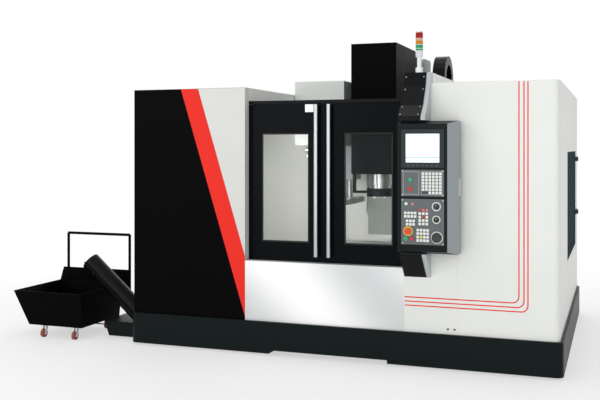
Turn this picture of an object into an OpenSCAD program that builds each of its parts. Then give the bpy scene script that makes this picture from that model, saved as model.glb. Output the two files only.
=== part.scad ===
// Vertical machining centre with enclosure, operator station, tool changer and chip cart

/* [Enclosure] */
// Width over the side panels
enclosure_w = 3600; // [3400:10:3800]
// Depth from the front panels to the rear sheets
enclosure_d = 2850; // [2800:10:3000]
// Height of the panel tops
panel_top = 2230; // [2180:5:2300]
// Height of the base skirt
skirt_top = 282; // [260:1:300]
// Thickness of the enclosure sheets
sheet_t = 3; // [2:0.5:4]
// How far the skirt stands proud of the panels
skirt_proud = 25; // [15:1:35]
// Width of the left front panel
left_panel_w = 1059; // [1040:1:1080]
// Width of the white front to the right of the console
right_panel_w = 966; // [940:1:990]
// Width of the right corner panel, up to its seam
corner_panel_w = 760; // [720:1:790]
// Radius of the right front corner
corner_r = 45; // [30:1:60]

/* [Doors] */
// Distance of the door faces behind the front panels
door_recess = 86; // [80:1:100]
// Thickness of a door
door_t = 40; // [30:1:45]
// Height of the door bottoms
door_bottom = 780; // [770:1:790]
// Height of the door tops
door_top = 2090; // [2060:1:2100]
// Width of one door
door_w = 640; // [620:1:650]
// Place of the line where the doors meet
door_meet_x = -58; // [-80:1:-40]
// Opening stroke of each door
door_stroke = 560; // [500:1:565]
// Length of a door handle
handle_l = 1252; // [1100:1:1260]

/* [Axes] */
// Place of the spindle axis across the enclosure
spindle_x = 80; // [60:1:100]
// Distance of the spindle axis behind the front panels
spindle_back = 1300; // [1280:1:1320]
// Travel of the table to each side
x_travel = 600; // [500:5:600]
// Travel of the saddle to each side
y_travel = 350; // [300:5:350]
// Length of the table
table_l = 1300; // [1200:10:1320]
// Depth of the table
table_w = 700; // [640:10:710]
// Height of the table top
table_top = 800; // [795:1:805]
// Height of the spindle nose face
nose_z = 1267; // [1255:1:1290]

/* [Head] */
// Width of the head cover
cover_w = 430; // [420:1:440]
// Depth of the head cover
cover_d = 900; // [880:1:905]
// Height of the bottom of the head cover
cover_bottom = 1480; // [1475:1:1490]
// Height of the top of the head cover
cover_top = 2690; // [2640:5:2720]
// Diameter of the spindle nose housing
nose_d = 244; // [230:1:250]

/* [Station] */
// Left edge of the console
console_x = 625; // [620:1:640]
// Height of the console top
console_top = 2315; // [2290:1:2330]
// Width of the control box
box_w = 447; // [437:1:457]
// Height of the control box
box_h = 1010; // [1000:1:1015]
// Depth of the control box
box_d = 212; // [200:1:220]

/* [Chip handling] */
// Outer diameter of the chip chute
chute_d = 170; // [150:1:190]
// Rise of the chute above level, in degrees
chute_angle = 41; // [39:1:43]
// Width of the cart at its lip
cart_w = 710; // [690:1:720]
// Height of the cart lip
cart_lip = 420; // [410:1:430]
// Diameter of the cart wheels
wheel_d = 75; // [70:1:80]

/* [Hidden] */
$fn = 48;

// Running clearances
slide_gap = 0.4;
shaft_gap = 0.05;
// Paint and metal colours
white_paint = [0.87, 0.88, 0.86];
black_paint = [0.06, 0.06, 0.07];
skirt_paint = [0.11, 0.14, 0.15];
wall_paint = [0.73, 0.73, 0.7];
cast_paint = [0.55, 0.58, 0.58];
steel = [0.7, 0.71, 0.72];
// Edges of the enclosure and distances measured back from the front panels
side_x = enclosure_w / 2;
front_y = -enclosure_d / 2;
function back(d) = front_y + d;
spindle_y = back(spindle_back);
left_edge = -side_x + left_panel_w;
right_edge = side_x - right_panel_w;
seam_x = side_x - corner_panel_w;
console_w = right_edge - console_x;

// A block given by its low and high corners
module block(low, high) {
    translate(low) cube(high - low);
}

// A rounded rectangle in plan, centred
module round_rect(w, d, r) {
    square([w - 2 * r, d], center = true);
    square([w, d - 2 * r], center = true);
    for (sx = [-1, 1], sy = [-1, 1])
        translate([sx * (w / 2 - r), sy * (d / 2 - r)]) circle(r);
}

// A profile drawn in Y and Z, extruded along X from x0 to x1
module along_x(x0, x1) {
    translate([x0, 0, 0]) rotate([90, 0, 90]) linear_extrude(x1 - x0) children();
}

// A profile drawn in X and Z, extruded along Y from y0 to y1
module along_y(y0, y1) {
    translate([0, y1, 0]) rotate([90, 0, 0]) linear_extrude(y1 - y0) children();
}

// A round bar along X, Y or Z
module bar_x(x0, x1, y, z, d) {
    translate([x0, y, z]) rotate([0, 90, 0]) cylinder(d = d, h = x1 - x0);
}
module bar_y(x, y0, y1, z, d) {
    translate([x, y1, z]) rotate([90, 0, 0]) cylinder(d = d, h = y1 - y0);
}
module bar_z(x, y, z0, z1, d) {
    translate([x, y, z0]) cylinder(d = d, h = z1 - z0);
}

// Base skirt: a folded ring under the panels, raised between its feet, and the chip sump at the left
skirt_bottom = 20;
skirt_wall = 6;
skirt_r = 60;
skirt_lip = 70;
skirt_raise = 28;
raise_left = -520;
raise_right = 487;
raise_step = 50;
sump_left = -2200;
sump_front = 150;
sump_back = 640;
sump_top = 150;
skirt_w = enclosure_w + 2 * skirt_proud;
skirt_d = enclosure_d + 2 * skirt_proud;
module base_skirt() color(skirt_paint) {
    difference() {
        translate([0, 0, skirt_bottom]) linear_extrude(skirt_top - skirt_bottom)
            round_rect(skirt_w, skirt_d, skirt_r);
        translate([0, 0, skirt_bottom - 1]) linear_extrude(skirt_top - skirt_bottom - skirt_wall + 1)
            round_rect(skirt_w - 2 * skirt_wall, skirt_d - 2 * skirt_wall, skirt_r - skirt_wall);
        translate([0, 0, skirt_bottom]) linear_extrude(skirt_top)
            square([skirt_w - 2 * skirt_lip, skirt_d - 2 * skirt_lip], center = true);
        along_y(back(-skirt_proud) - 1, back(skirt_lip)) polygon([
            [raise_left, skirt_bottom - 1], [raise_left + raise_step, skirt_bottom + skirt_raise],
            [raise_right, skirt_bottom + skirt_raise], [raise_right, skirt_bottom - 1]]);
    }
    along_y(back(sump_front), back(sump_back)) polygon([
        [-skirt_w / 2, skirt_bottom], [sump_left + raise_step, skirt_bottom], [sump_left, sump_top],
        [-skirt_w / 2, sump_top]]);
}

// Levelling pads in a grid, one of them at the centre of the floor plan
pad_d = 110;
pad_t = 25;
pad_screw_d = 30;
pad_pitch_x = 400;
pad_front_in = 25;
pad_rear_in = 275;
bed_bottom = 90;
module levelling_pads() color(steel)
    for (ix = [-1, 0, 1], y = [back(bed_front + pad_front_in), 0, back(bed_back - pad_rear_in)])
        translate([ix * pad_pitch_x, y, 0]) {
        cylinder(d = pad_d, h = pad_t);
        cylinder(d = pad_screw_d, h = bed_bottom);
    }

// Bed casting: a ribbed box with a screw channel and a pad for the column
bed_half = 500;
bed_front = 400;
bed_back = 2700;
bed_top = 560;
column_seat = 600;
column_front = 2050;
channel_half = 90;
channel_depth = 130;
pocket_w = 360;
pocket_h = 240;
pocket_deep = 60;
pocket_z = 320;
pocket_first = 240;
pocket_pitch = 440;
module bed_casting() color(cast_paint) difference() {
    union() {
        block([spindle_x - bed_half, back(bed_front), bed_bottom],
              [spindle_x + bed_half, back(bed_back), bed_top]);
        block([spindle_x - bed_half, back(column_front), bed_top],
              [spindle_x - bed_half + leg_w, back(bed_back), column_seat]);
        block([spindle_x + bed_half - leg_w, back(column_front), bed_top],
              [spindle_x + bed_half, back(bed_back), column_seat]);
    }
    block([spindle_x - channel_half, back(bed_front) - 1, bed_top - channel_depth],
          [spindle_x + channel_half, back(bed_back) + 1, bed_top + 1]);
    for (side = [-1, 1], i = [0:4])
        translate([spindle_x + side * bed_half, back(bed_front) + pocket_first + i * pocket_pitch, pocket_z])
            cube([2 * pocket_deep, pocket_w, pocket_h], center = true);
}

// Column casting: wide legs over the rear way cover, a screw channel, the drive housing on its top
leg_w = 90;
column_half = 330;
column_back = 2690;
column_top = 2450;
shoulder_low = 760;
shoulder_high = 1150;
tunnel_top = 720;
column_channel = 110;
column_channel_deep = 150;
column_lean = 110;
housing_half = 230;
housing_top = 2650;
housing_r = 40;
chain_x0 = 432;
chain_x1 = 558;
chain_wall = 6;
trough_low = 1880;
trough_high = 2240;
chain_back = 2560;
chain_front = 2060;
chain_t = 90;
channel_rise = 60;
housing_at = 200;
housing_l = 340;
module column_casting() color(black_paint) {
    difference() {
        along_y(back(column_front), back(column_back)) translate([spindle_x, 0]) polygon([
            [-bed_half, column_seat], [bed_half, column_seat], [bed_half, shoulder_low],
            [column_half, shoulder_high], [column_half, column_top], [-column_half, column_top],
            [-column_half, shoulder_high], [-bed_half, shoulder_low]]);
        block([spindle_x - bed_half + leg_w, back(column_front) - 1, column_seat - 1],
              [spindle_x + bed_half - leg_w, back(column_back) + 1, tunnel_top]);
        block([spindle_x - column_channel, back(column_front) - 1, tunnel_top + channel_rise],
              [spindle_x + column_channel, back(column_front) + column_channel_deep, column_top + 1]);
        along_x(spindle_x - bed_half - 1, spindle_x + bed_half + 1) polygon([
            [back(column_back) + 1, shoulder_low], [back(column_back) - column_lean, column_top + 1],
            [back(column_back) + 1, column_top + 1]]);
    }
    along_x(spindle_x - housing_half, spindle_x + housing_half)
        translate([back(column_front + housing_at), column_top]) {
            square([housing_l, housing_top - column_top - housing_r]);
            translate([housing_r, 0]) square([housing_l - 2 * housing_r, housing_top - column_top]);
            for (y = [housing_r, housing_l - housing_r])
                translate([y, housing_top - column_top - housing_r]) circle(housing_r);
        }
    difference() {
        block([spindle_x + column_half, back(chain_back - chain_t) - chain_wall, trough_low],
              [chain_x1 + slide_gap + chain_wall, back(chain_back) + chain_wall, trough_high]);
        block([chain_x0 - slide_gap, back(chain_back - chain_t) - chain_wall - 1, trough_low - 1],
              [chain_x1 + slide_gap, back(chain_back) + slide_gap, trough_high + 1]);
    }
}

// Feed drives: Y and Z rails, ball screws and motors
rail_w = 45;
rail_h = 40;
y_rail_half = 330;
z_rail_half = 230;
rail_front = 600;
rail_back = 1990;
screw_d = 50;
motor_w = 180;
y_screw_z = bed_top - channel_depth / 2;
z_screw_back = column_front + 75;
z_rail_low = 1055;
screw_end = 60;
screw_over = 20;
motor_gap = 10;
z_motor_front = 8;
z_motor_back = 198;
z_motor_gap = 20;
module feed_drives() color(steel) {
    for (side = [-1, 1]) {
        block([spindle_x + side * y_rail_half - rail_w / 2, back(rail_front), bed_top],
              [spindle_x + side * y_rail_half + rail_w / 2, back(rail_back), bed_top + rail_h]);
        block([spindle_x + side * z_rail_half - rail_w / 2, back(column_front) - rail_h, z_rail_low],
              [spindle_x + side * z_rail_half + rail_w / 2, back(column_front), column_top]);
    }
    bar_y(spindle_x, back(bed_front + screw_end), back(bed_back), y_screw_z, screw_d);
    block([spindle_x - motor_w / 2, back(bed_back), y_screw_z - motor_w / 2],
          [spindle_x + motor_w / 2, back(enclosure_d) - motor_gap, y_screw_z + motor_w / 2]);
    bar_z(spindle_x, back(z_screw_back), tunnel_top + channel_rise, column_top + screw_over, screw_d);
    block([spindle_x - motor_w / 2, back(column_front + z_motor_front), column_top],
          [spindle_x + motor_w / 2, back(column_front + z_motor_back), housing_top - z_motor_gap]);
}

// Saddle: a long cross slide on four runner blocks, with the X rails, screw and motor on it
saddle_half_l = 880;
saddle_half_w = 250;
saddle_low = bed_top + rail_h + 4;
saddle_high = 690;
runner_l = 120;
runner_side = 25;
runner_out = 180;
x_rail_half = 200;
x_screw_d = 40;
x_screw_z = 665;
x_channel_half = 45;
x_motor_l = 180;
x_motor_w = 140;
nut_half = 60;
module runner_y(side, y) difference() {
    block([spindle_x + side * y_rail_half - rail_w / 2 - runner_side, y - runner_l / 2, bed_top + 6],
          [spindle_x + side * y_rail_half + rail_w / 2 + runner_side, y + runner_l / 2, saddle_low]);
    block([spindle_x + side * y_rail_half - rail_w / 2 - slide_gap, y - runner_l, bed_top],
          [spindle_x + side * y_rail_half + rail_w / 2 + slide_gap, y + runner_l,
           bed_top + rail_h + slide_gap]);
}
nut_drop = 45;
channel_drop = 30;
bearing_w = 30;
module saddle() color(cast_paint) {
    difference() {
        union() {
            block([spindle_x - saddle_half_l, spindle_y - saddle_half_w, saddle_low],
                  [spindle_x + saddle_half_l, spindle_y + saddle_half_w, saddle_high]);
            block([spindle_x - nut_half, spindle_y - nut_half, y_screw_z - nut_drop],
                  [spindle_x + nut_half, spindle_y + nut_half, saddle_low]);
        }
        block([spindle_x - saddle_half_l - 1, spindle_y - x_channel_half, x_screw_z - channel_drop],
              [spindle_x + saddle_half_l + 1, spindle_y + x_channel_half, saddle_high + 1]);
        bar_y(spindle_x, spindle_y - nut_half - 1, spindle_y + nut_half + 1, y_screw_z,
              screw_d + 2 * slide_gap);
    }
    for (side = [-1, 1], dy = [-runner_out, runner_out]) runner_y(side, spindle_y + dy);
    for (side = [-1, 1])
        block([spindle_x - saddle_half_l, spindle_y + side * x_rail_half - rail_w / 2, saddle_high],
              [spindle_x + saddle_half_l, spindle_y + side * x_rail_half + rail_w / 2,
               saddle_high + rail_h]);
    bar_x(spindle_x - saddle_half_l, spindle_x + saddle_half_l, spindle_y, x_screw_z, x_screw_d);
    block([spindle_x + saddle_half_l, spindle_y - x_motor_w / 2, x_screw_z - x_motor_w / 2],
          [spindle_x + saddle_half_l + x_motor_l, spindle_y + x_motor_w / 2,
           x_screw_z + x_motor_w / 2 - 5]);
    for (x = [spindle_x - saddle_half_l, spindle_x + saddle_half_l - bearing_w])
        block([x, spindle_y - x_channel_half, x_screw_z - channel_drop],
              [x + bearing_w, spindle_y + x_channel_half, saddle_high]);
}

// Y way covers: a folded front hood and a rear plate that runs into the column tunnel
y_cover_half = 440;
y_cover_z = 650;
y_cover_t = 4;
y_cover_front_l = 690;
y_cover_rear_l = 740;
y_cover_rear_half = 380;
cover_skirt = 45;
module y_way_covers() color(steel) {
    along_y(spindle_y - saddle_half_w - y_cover_front_l, spindle_y - saddle_half_w)
        translate([spindle_x, 0]) difference() {
            polygon([[-y_cover_half, y_cover_z - cover_skirt], [-y_cover_half, y_cover_z + y_cover_t],
                [y_cover_half, y_cover_z + y_cover_t], [y_cover_half, y_cover_z - cover_skirt]]);
            translate([-y_cover_half + y_cover_t, y_cover_z - cover_skirt - 1])
                square([2 * (y_cover_half - y_cover_t), cover_skirt + 1]);
        }
    block([spindle_x - y_cover_rear_half, spindle_y + saddle_half_w, y_cover_z],
          [spindle_x + y_cover_rear_half, spindle_y + saddle_half_w + y_cover_rear_l,
           y_cover_z + y_cover_t]);
}

// Table: T-slots, runner blocks, screw nut and end hoods over the X ways
table_t = 60;
slot_pitch = 125;
slot_w = 18;
slot_h = 16;
slot_foot_w = 32;
slot_foot_h = 14;
hood_l = 280;
hood_half = 262;
hood_t = 4;
hood_drop = 78;
x_runner_out = 220;
table_low = table_top - table_t;
module runner_x(x, side) difference() {
    block([x - runner_l / 2, spindle_y + side * x_rail_half - rail_w / 2 - runner_side, saddle_high + 6],
          [x + runner_l / 2, spindle_y + side * x_rail_half + rail_w / 2 + runner_side, table_low]);
    block([x - runner_l, spindle_y + side * x_rail_half - rail_w / 2 - slide_gap, saddle_high],
          [x + runner_l, spindle_y + side * x_rail_half + rail_w / 2 + slide_gap,
           saddle_high + rail_h + slide_gap]);
}
nut_side = 10;
x_nut_drop = 25;
module table() color(steel) {
    difference() {
        block([spindle_x - table_l / 2, spindle_y - table_w / 2, table_low],
              [spindle_x + table_l / 2, spindle_y + table_w / 2, table_top]);
        for (i = [-2:2]) translate([0, spindle_y + i * slot_pitch, 0])
            along_x(spindle_x - table_l / 2 - 1, spindle_x + table_l / 2 + 1) {
                translate([-slot_w / 2, table_top - slot_h - 1]) square([slot_w, slot_h + 2]);
                translate([-slot_foot_w / 2, table_top - slot_h - slot_foot_h])
                    square([slot_foot_w, slot_foot_h]);
            }
    }
    for (side = [-1, 1], dx = [-x_runner_out, x_runner_out]) runner_x(spindle_x + dx, side);
    difference() {
        block([spindle_x - nut_half, spindle_y - x_channel_half + nut_side, x_screw_z - x_nut_drop],
              [spindle_x + nut_half, spindle_y + x_channel_half - nut_side, table_low]);
        bar_x(spindle_x - nut_half - 1, spindle_x + nut_half + 1, spindle_y, x_screw_z,
              x_screw_d + 2 * slide_gap);
    }
    for (x = [spindle_x - table_l / 2 - hood_l, spindle_x + table_l / 2 - hood_t])
        translate([0, spindle_y, 0]) along_x(x, x + hood_l + hood_t) difference() {
            translate([-hood_half - hood_t, table_low - hood_t - hood_drop])
                square([2 * (hood_half + hood_t), hood_drop + hood_t]);
            translate([-hood_half, table_low - 2 * hood_t - hood_drop])
                square([2 * hood_half, hood_drop + hood_t]);
        }
}

// Head casting: bored for the spindle cartridge, with rear runners, screw nut, motor and chain bracket
casting_half = 180;
casting_front = 150;
casting_low = cover_bottom + sheet_t;
casting_top = 2150;
carriage_half = 285;
carriage_low = 1500;
cartridge_d = 180;
cartridge_top = 1900;
motor_d = 260;
motor_top = 2600;
cover_front = 215;
cover_back = spindle_back - cover_front + cover_d;
z_nut_low = 1700;
z_nut_high = 1850;
bracket_front = 2030;
bracket_t = 10;
bracket_low = 1780;
bracket_high = 2200;
z_nut_back = 45;
module head_casting() color(cast_paint) {
    difference() {
        union() {
            block([spindle_x - casting_half, spindle_y - casting_front, casting_low],
                  [spindle_x + casting_half, back(cover_back), casting_top]);
            block([spindle_x - carriage_half, back(cover_back), carriage_low],
                  [spindle_x + carriage_half, back(column_front - 4), casting_top]);
            block([spindle_x - nut_half, back(column_front - 5), z_nut_low],
                  [spindle_x + nut_half, back(z_screw_back + z_nut_back), z_nut_high]);
        }
        for (side = [-1, 1])
            block([spindle_x + side * z_rail_half - rail_w / 2 - slide_gap,
                   back(column_front) - rail_h - slide_gap, carriage_low - 1],
                  [spindle_x + side * z_rail_half + rail_w / 2 + slide_gap, back(column_front),
                   casting_top + 1]);
        bar_z(spindle_x, back(z_screw_back), z_nut_low - 1, z_nut_high + 1, screw_d + 2 * slide_gap);
        bar_z(spindle_x, spindle_y, casting_low - 1, cartridge_top, cartridge_d + 2 * shaft_gap);
    }
    bar_z(spindle_x, spindle_y, casting_top, motor_top, motor_d);
    block([spindle_x + carriage_half, back(bracket_front), bracket_low],
          [chain_x1 + slide_gap + chain_wall, back(bracket_front + bracket_t), bracket_high]);
    for (x = [chain_x0 - slide_gap - chain_wall, chain_x1 + slide_gap])
        block([x, back(bracket_front + bracket_t), bracket_low],
              [x + chain_wall, back(chain_front + chain_t), bracket_high]);
}

// Head cover: a folded box, open at its back, with a hole for the spindle nose
module head_cover() color(black_paint) difference() {
    block([spindle_x - cover_w / 2, spindle_y - cover_front, cover_bottom],
          [spindle_x + cover_w / 2, back(cover_back), cover_top]);
    block([spindle_x - cover_w / 2 + sheet_t, spindle_y - cover_front + sheet_t, casting_low],
          [spindle_x + cover_w / 2 - sheet_t, back(cover_back) + 1, cover_top - sheet_t]);
    bar_z(spindle_x, spindle_y, cover_bottom - 1, casting_low + 1, nose_d + 6);
}

// Spindle nose: the cartridge and its stepped flange
ring_h = 76;
shaft_d = 110;
flange_low = nose_z + ring_h;
flange_step = 10;
flange_neck = 60;
flange_face = 30;
module spindle_nose() color(steel) difference() {
    union() {
        bar_z(spindle_x, spindle_y, flange_low, flange_low + flange_neck, nose_d - 2 * flange_step);
        bar_z(spindle_x, spindle_y, flange_low + flange_face, casting_low, nose_d);
        bar_z(spindle_x, spindle_y, casting_low, cartridge_top - 5, cartridge_d);
    }
    bar_z(spindle_x, spindle_y, flange_low - 1, cartridge_top, shaft_d + 2 * shaft_gap);
}

// Coolant ring: a ring with six jets below the nose and two supply pipes beside the head
ring_hole = 150;
jet_d = 16;
pipe_d = 22;
pipe_x = spindle_x - cover_w / 2 - 30;
pipe_top = 1800;
pipe_z = nose_z + ring_h / 2;
pipe_pitch = 50;
pipe_y = spindle_y - pipe_pitch / 2;
jet_count = 6;
jet_l = 12;
pipe_in = 14;
clip_end = 60;
clip_w = 20;
module coolant_ring() color(black_paint) {
    difference() {
        bar_z(spindle_x, spindle_y, nose_z, flange_low, nose_d);
        bar_z(spindle_x, spindle_y, nose_z - 1, flange_low + 1, ring_hole);
        for (i = [0:jet_count - 1]) translate([spindle_x, spindle_y, nose_z])
            rotate((i + 0.5) * 360 / jet_count)
            translate([(nose_d + ring_hole) / 4, 0, -1]) cylinder(d = jet_d, h = jet_l);
    }
    for (i = [0, 1]) {
        bar_z(pipe_x, pipe_y + i * pipe_pitch, pipe_z, pipe_top, pipe_d);
        translate([pipe_x, pipe_y + i * pipe_pitch, pipe_z]) sphere(d = pipe_d);
        bar_x(pipe_x, spindle_x - nose_d / 2 + pipe_in, pipe_y + i * pipe_pitch, pipe_z, pipe_d);
    }
    for (z = [pipe_top - clip_end, cover_bottom + clip_end])
        block([pipe_x, pipe_y - clip_w, z],
              [spindle_x - cover_w / 2, pipe_y + pipe_pitch + clip_w, z + clip_w]);
}

// Spindle: shaft, steep-taper nose and two drive keys
spindle_end_d = 128;
taper_d = 69.85;
taper_l = 100;
taper_drop = 7 / 24;
face_z = nose_z - 5;
key_w = 25;
shaft_short = 20;
drive_key_r = 50;
drive_key_set = 6;
drive_key_l = 13;
module spindle() color(steel) {
    difference() {
        union() {
            bar_z(spindle_x, spindle_y, face_z, flange_low - 2, spindle_end_d);
            bar_z(spindle_x, spindle_y, flange_low - 2, cartridge_top - shaft_short, shaft_d);
        }
        translate([spindle_x, spindle_y, face_z])
            cylinder(d1 = taper_d, d2 = taper_d - taper_l * taper_drop, h = taper_l);
    }
    for (side = [-1, 1]) translate([spindle_x + side * drive_key_r, spindle_y, face_z - drive_key_set])
        cube([key_w, key_w, drive_key_l], center = true);
}

// Z way cover plates: the upper one hangs from the head, the middle one follows at half its travel
z_plate_t = 2;
z_upper_half = 310;
z_upper_low = 1010;
z_upper_front = 2003;
z_mid_half = 305;
z_mid_low = 835;
z_mid_high = 1225;
z_plate_gap = 0.6;
module z_cover_upper() color(steel)
    block([spindle_x - z_upper_half, back(z_upper_front), z_upper_low],
          [spindle_x + z_upper_half, back(z_upper_front + z_plate_t), carriage_low]);
module z_cover_mid() color(steel)
    block([spindle_x - z_mid_half, back(z_upper_front + z_plate_t + z_plate_gap), z_mid_low],
          [spindle_x + z_mid_half, back(z_upper_front + 2 * z_plate_t + z_plate_gap), z_mid_high]);

// Cable chain: a standing loop of links between the head bracket and the column trough
chain_arc_z = 2420;
chain_front_low = 1975;
chain_back_low = 2100;
chain_r = (chain_back - chain_front) / 2;
link_l = 65;
link_gap = 5;
link_groove = 14;
link_turn = 15;
module chain_leg(y, low) difference() {
    block([chain_x0, y, low], [chain_x1, y + chain_t, chain_arc_z]);
    for (z = [chain_arc_z:-link_l:low + link_l / 2], side = [0, 1])
        translate([chain_x0 - 1, y + side * (chain_t - link_groove), z - link_gap])
            cube([chain_x1 - chain_x0 + 2, link_groove + side, link_gap]);
}
module cable_chain() color(skirt_paint) {
    chain_leg(back(chain_front), chain_front_low);
    chain_leg(back(chain_back - chain_t), chain_back_low);
    along_x(chain_x0, chain_x1) translate([back(chain_front) + chain_r, chain_arc_z])
        difference() {
            circle(chain_r, $fn = 96);
            circle(chain_r - chain_t, $fn = 96);
            translate([-chain_r - 1, -2 * chain_r]) square([2 * chain_r + 2, 2 * chain_r]);
            for (a = [link_turn / 2:link_turn:180]) rotate(a) {
                translate([chain_r - link_groove, -link_gap / 2]) square([link_groove + 2, link_gap]);
                translate([chain_r - chain_t - 2, -link_gap / 2]) square([link_groove + 2, link_gap]);
            }
        }
}

// Tool changer frame: a plate with the disc pin, the cam box of the arm and a block to the column
frame_x0 = -395;
frame_x1 = -370;
pot_x = -600;
pot_back = 1600;
arm_x = (spindle_x + pot_x) / 2;
arm_y = back((spindle_back + pot_back) / 2);
arm_r = norm([spindle_x - pot_x, spindle_back - pot_back]) / 2;
cam_half = 82;
cam_low = 1420;
cam_high = 1745;
arm_shaft_d = 70;
disc_z = 1850;
pin_d = 90;
pin_left = -560;
magazine_left = -735;
magazine_right = -240;
magazine_front = 1200;
magazine_back = 2000;
magazine_low = 1750;
magazine_high = 2360;
bracket_z = 2040;
bracket_back = 2300;
frame_in = 40;
cam_back_in = 150;
frame_gap = 10;
bracket_drop = 30;
bracket_lap = 10;
cam_front = 100;
cam_rear = 110;
cam_lid = 20;
module atc_frame() color(cast_paint) {
    along_x(frame_x0, frame_x1) polygon([
        [back(magazine_front + frame_in), cam_low], [back(pot_back + cam_back_in), cam_low],
        [back(magazine_back - frame_gap), magazine_low], [back(magazine_back - frame_gap), bracket_z],
        [back(bracket_back), bracket_z], [back(bracket_back), magazine_high - bracket_drop],
        [back(magazine_back - frame_gap), magazine_high - sheet_t],
        [back(magazine_front + frame_in), magazine_high - sheet_t]]);
    block([frame_x1, back(column_front + bracket_lap), bracket_z],
          [spindle_x - column_half, back(bracket_back), magazine_high - bracket_drop]);
    bar_x(pin_left, frame_x0, back(pot_back), disc_z, pin_d);
    difference() {
        block([frame_x1, arm_y - cam_front, cam_low], [arm_x + cam_half, arm_y + cam_rear, cam_high]);
        bar_z(arm_x, arm_y, cam_low - 1, cam_high - cam_lid, arm_shaft_d + 2 * shaft_gap);
    }
}

// Magazine cover: a folded box over the disc, open below and behind
module magazine_cover() color(white_paint) difference() {
    block([magazine_left, back(magazine_front), magazine_low],
          [magazine_right, back(magazine_back), magazine_high]);
    block([magazine_left + sheet_t, back(magazine_front) + sheet_t, magazine_low - 1],
          [magazine_right - sheet_t, back(magazine_back) + 1, magazine_high - sheet_t]);
}

// Tool disc: a plate and hub with a ring of pots
pot_count = 24;
pot_pitch_r = 300;
pot_d = 62;
pot_bore = 46;
pot_l = 120;
disc_d = 680;
disc_t = 30;
hub_d = 170;
disc_left = -545;
module magazine_disc() color(steel) translate([disc_left, back(pot_back), disc_z]) rotate([0, 90, 0])
    difference() {
        union() {
            cylinder(d = disc_d, h = disc_t);
            cylinder(d = hub_d, h = frame_x0 - disc_left - 1);
            for (i = [0:pot_count - 1]) rotate(i * 360 / pot_count)
                translate([pot_pitch_r, 0, -pot_l]) cylinder(d = pot_d, h = pot_l + disc_t, $fn = 24);
        }
        translate([0, 0, -1]) cylinder(d = pin_d + 2 * shaft_gap, h = frame_x0 - disc_left + 2);
        for (i = [0:pot_count - 1]) rotate(i * 360 / pot_count)
            translate([pot_pitch_r, 0, -pot_l - 1]) cylinder(d = pot_bore, h = pot_l, $fn = 24);
    }

// Arm shaft and the double arm, parked along Y
arm_low = 1180;
arm_t = 50;
arm_pin_d = 50;
arm_top = 1640;
arm_hub_d = 130;
grip_d = 124;
grip_hole = 84;
module arm_shaft() color(steel) {
    bar_z(arm_x, arm_y, arm_low + arm_t + slide_gap, arm_top, arm_shaft_d);
    bar_z(arm_x, arm_y, arm_low + 5, arm_low + arm_t + slide_gap, arm_pin_d);
}
arm_root = 50;
arm_tip = 35;
grip_lip = 8;
module tool_arm() color(steel) translate([arm_x, arm_y, arm_low]) linear_extrude(arm_t) difference() {
    union() {
        circle(d = arm_hub_d);
        for (turn = [0, 180]) rotate(turn) {
            polygon([[-arm_root, 0], [arm_root, 0], [arm_tip, arm_r], [-arm_tip, arm_r]]);
            translate([0, arm_r]) circle(d = grip_d);
        }
    }
    circle(d = arm_pin_d + 2 * shaft_gap);
    for (turn = [0, 180]) rotate(turn) translate([0, arm_r]) {
        circle(d = grip_hole);
        translate([0, -grip_hole / 2 + grip_lip]) square([grip_d, grip_hole - 2 * grip_lip]);
    }
}

// Console: a C-shaped post at the right of the doors that holds the control box
console_low = 715;
jaw_low = 915;
jaw_high = jaw_low + box_h + 10;
lower_reach = 190;
upper_reach = 233;
spine_reach = 35;
plate_t = 5;
plate_w = 175;
jaw_gap = 10;
neck_h = 30;
slope_low = [0.57, 118];
slope_high = [0.15, 270];
function lower_front(t) = [
    [front_y - t, console_low], [front_y - lower_reach - t, jaw_low - jaw_gap],
    [front_y - lower_reach - t, jaw_low]];
function upper_front(t) = [
    [front_y - upper_reach - t, jaw_high], [front_y - upper_reach - t, jaw_high + neck_h],
    [front_y - slope_low[0] * upper_reach - t, jaw_high + slope_low[1]],
    [front_y - slope_high[0] * upper_reach - t, jaw_high + slope_high[1]],
    [front_y - t, console_top]];
console_back = back(door_recess - 6);
console_inset = 7;
module console_form(x0, x1) along_x(x0, x1) polygon(concat(
    [[console_back, console_low]], lower_front(0),
    [[front_y - spine_reach, jaw_low], [front_y - spine_reach, jaw_high]], upper_front(0),
    [[console_back, console_top]]));
module control_console() color(white_paint) console_form(console_x + console_inset, right_edge);

// Black console plates, bent to the console front, with their cap screws
bolt_d = 16;
bolt_h = 6;
bolt_in = 18;
bolt_rows = [[0.94, 45], [0.62, 105], [0.2, 245], [0.04, 345]];
module console_plates() color(black_paint) {
    along_x(console_x, console_x + plate_w) polygon(concat(lower_front(0), [
        for (i = [2:-1:0]) lower_front(plate_t)[i]]));
    along_x(console_x, console_x + plate_w) polygon(concat(upper_front(0), [
        for (i = [4:-1:0]) upper_front(plate_t)[i]]));
    difference() {
        for (row = bolt_rows, x = [console_x + bolt_in, console_x + plate_w - bolt_in])
            bar_y(x, front_y - row[0] * upper_reach - plate_t - bolt_h,
                  front_y - row[0] * upper_reach - plate_t / 2, jaw_high + row[1], bolt_d);
        console_form(console_x - 1, right_edge);
    }
}

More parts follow.
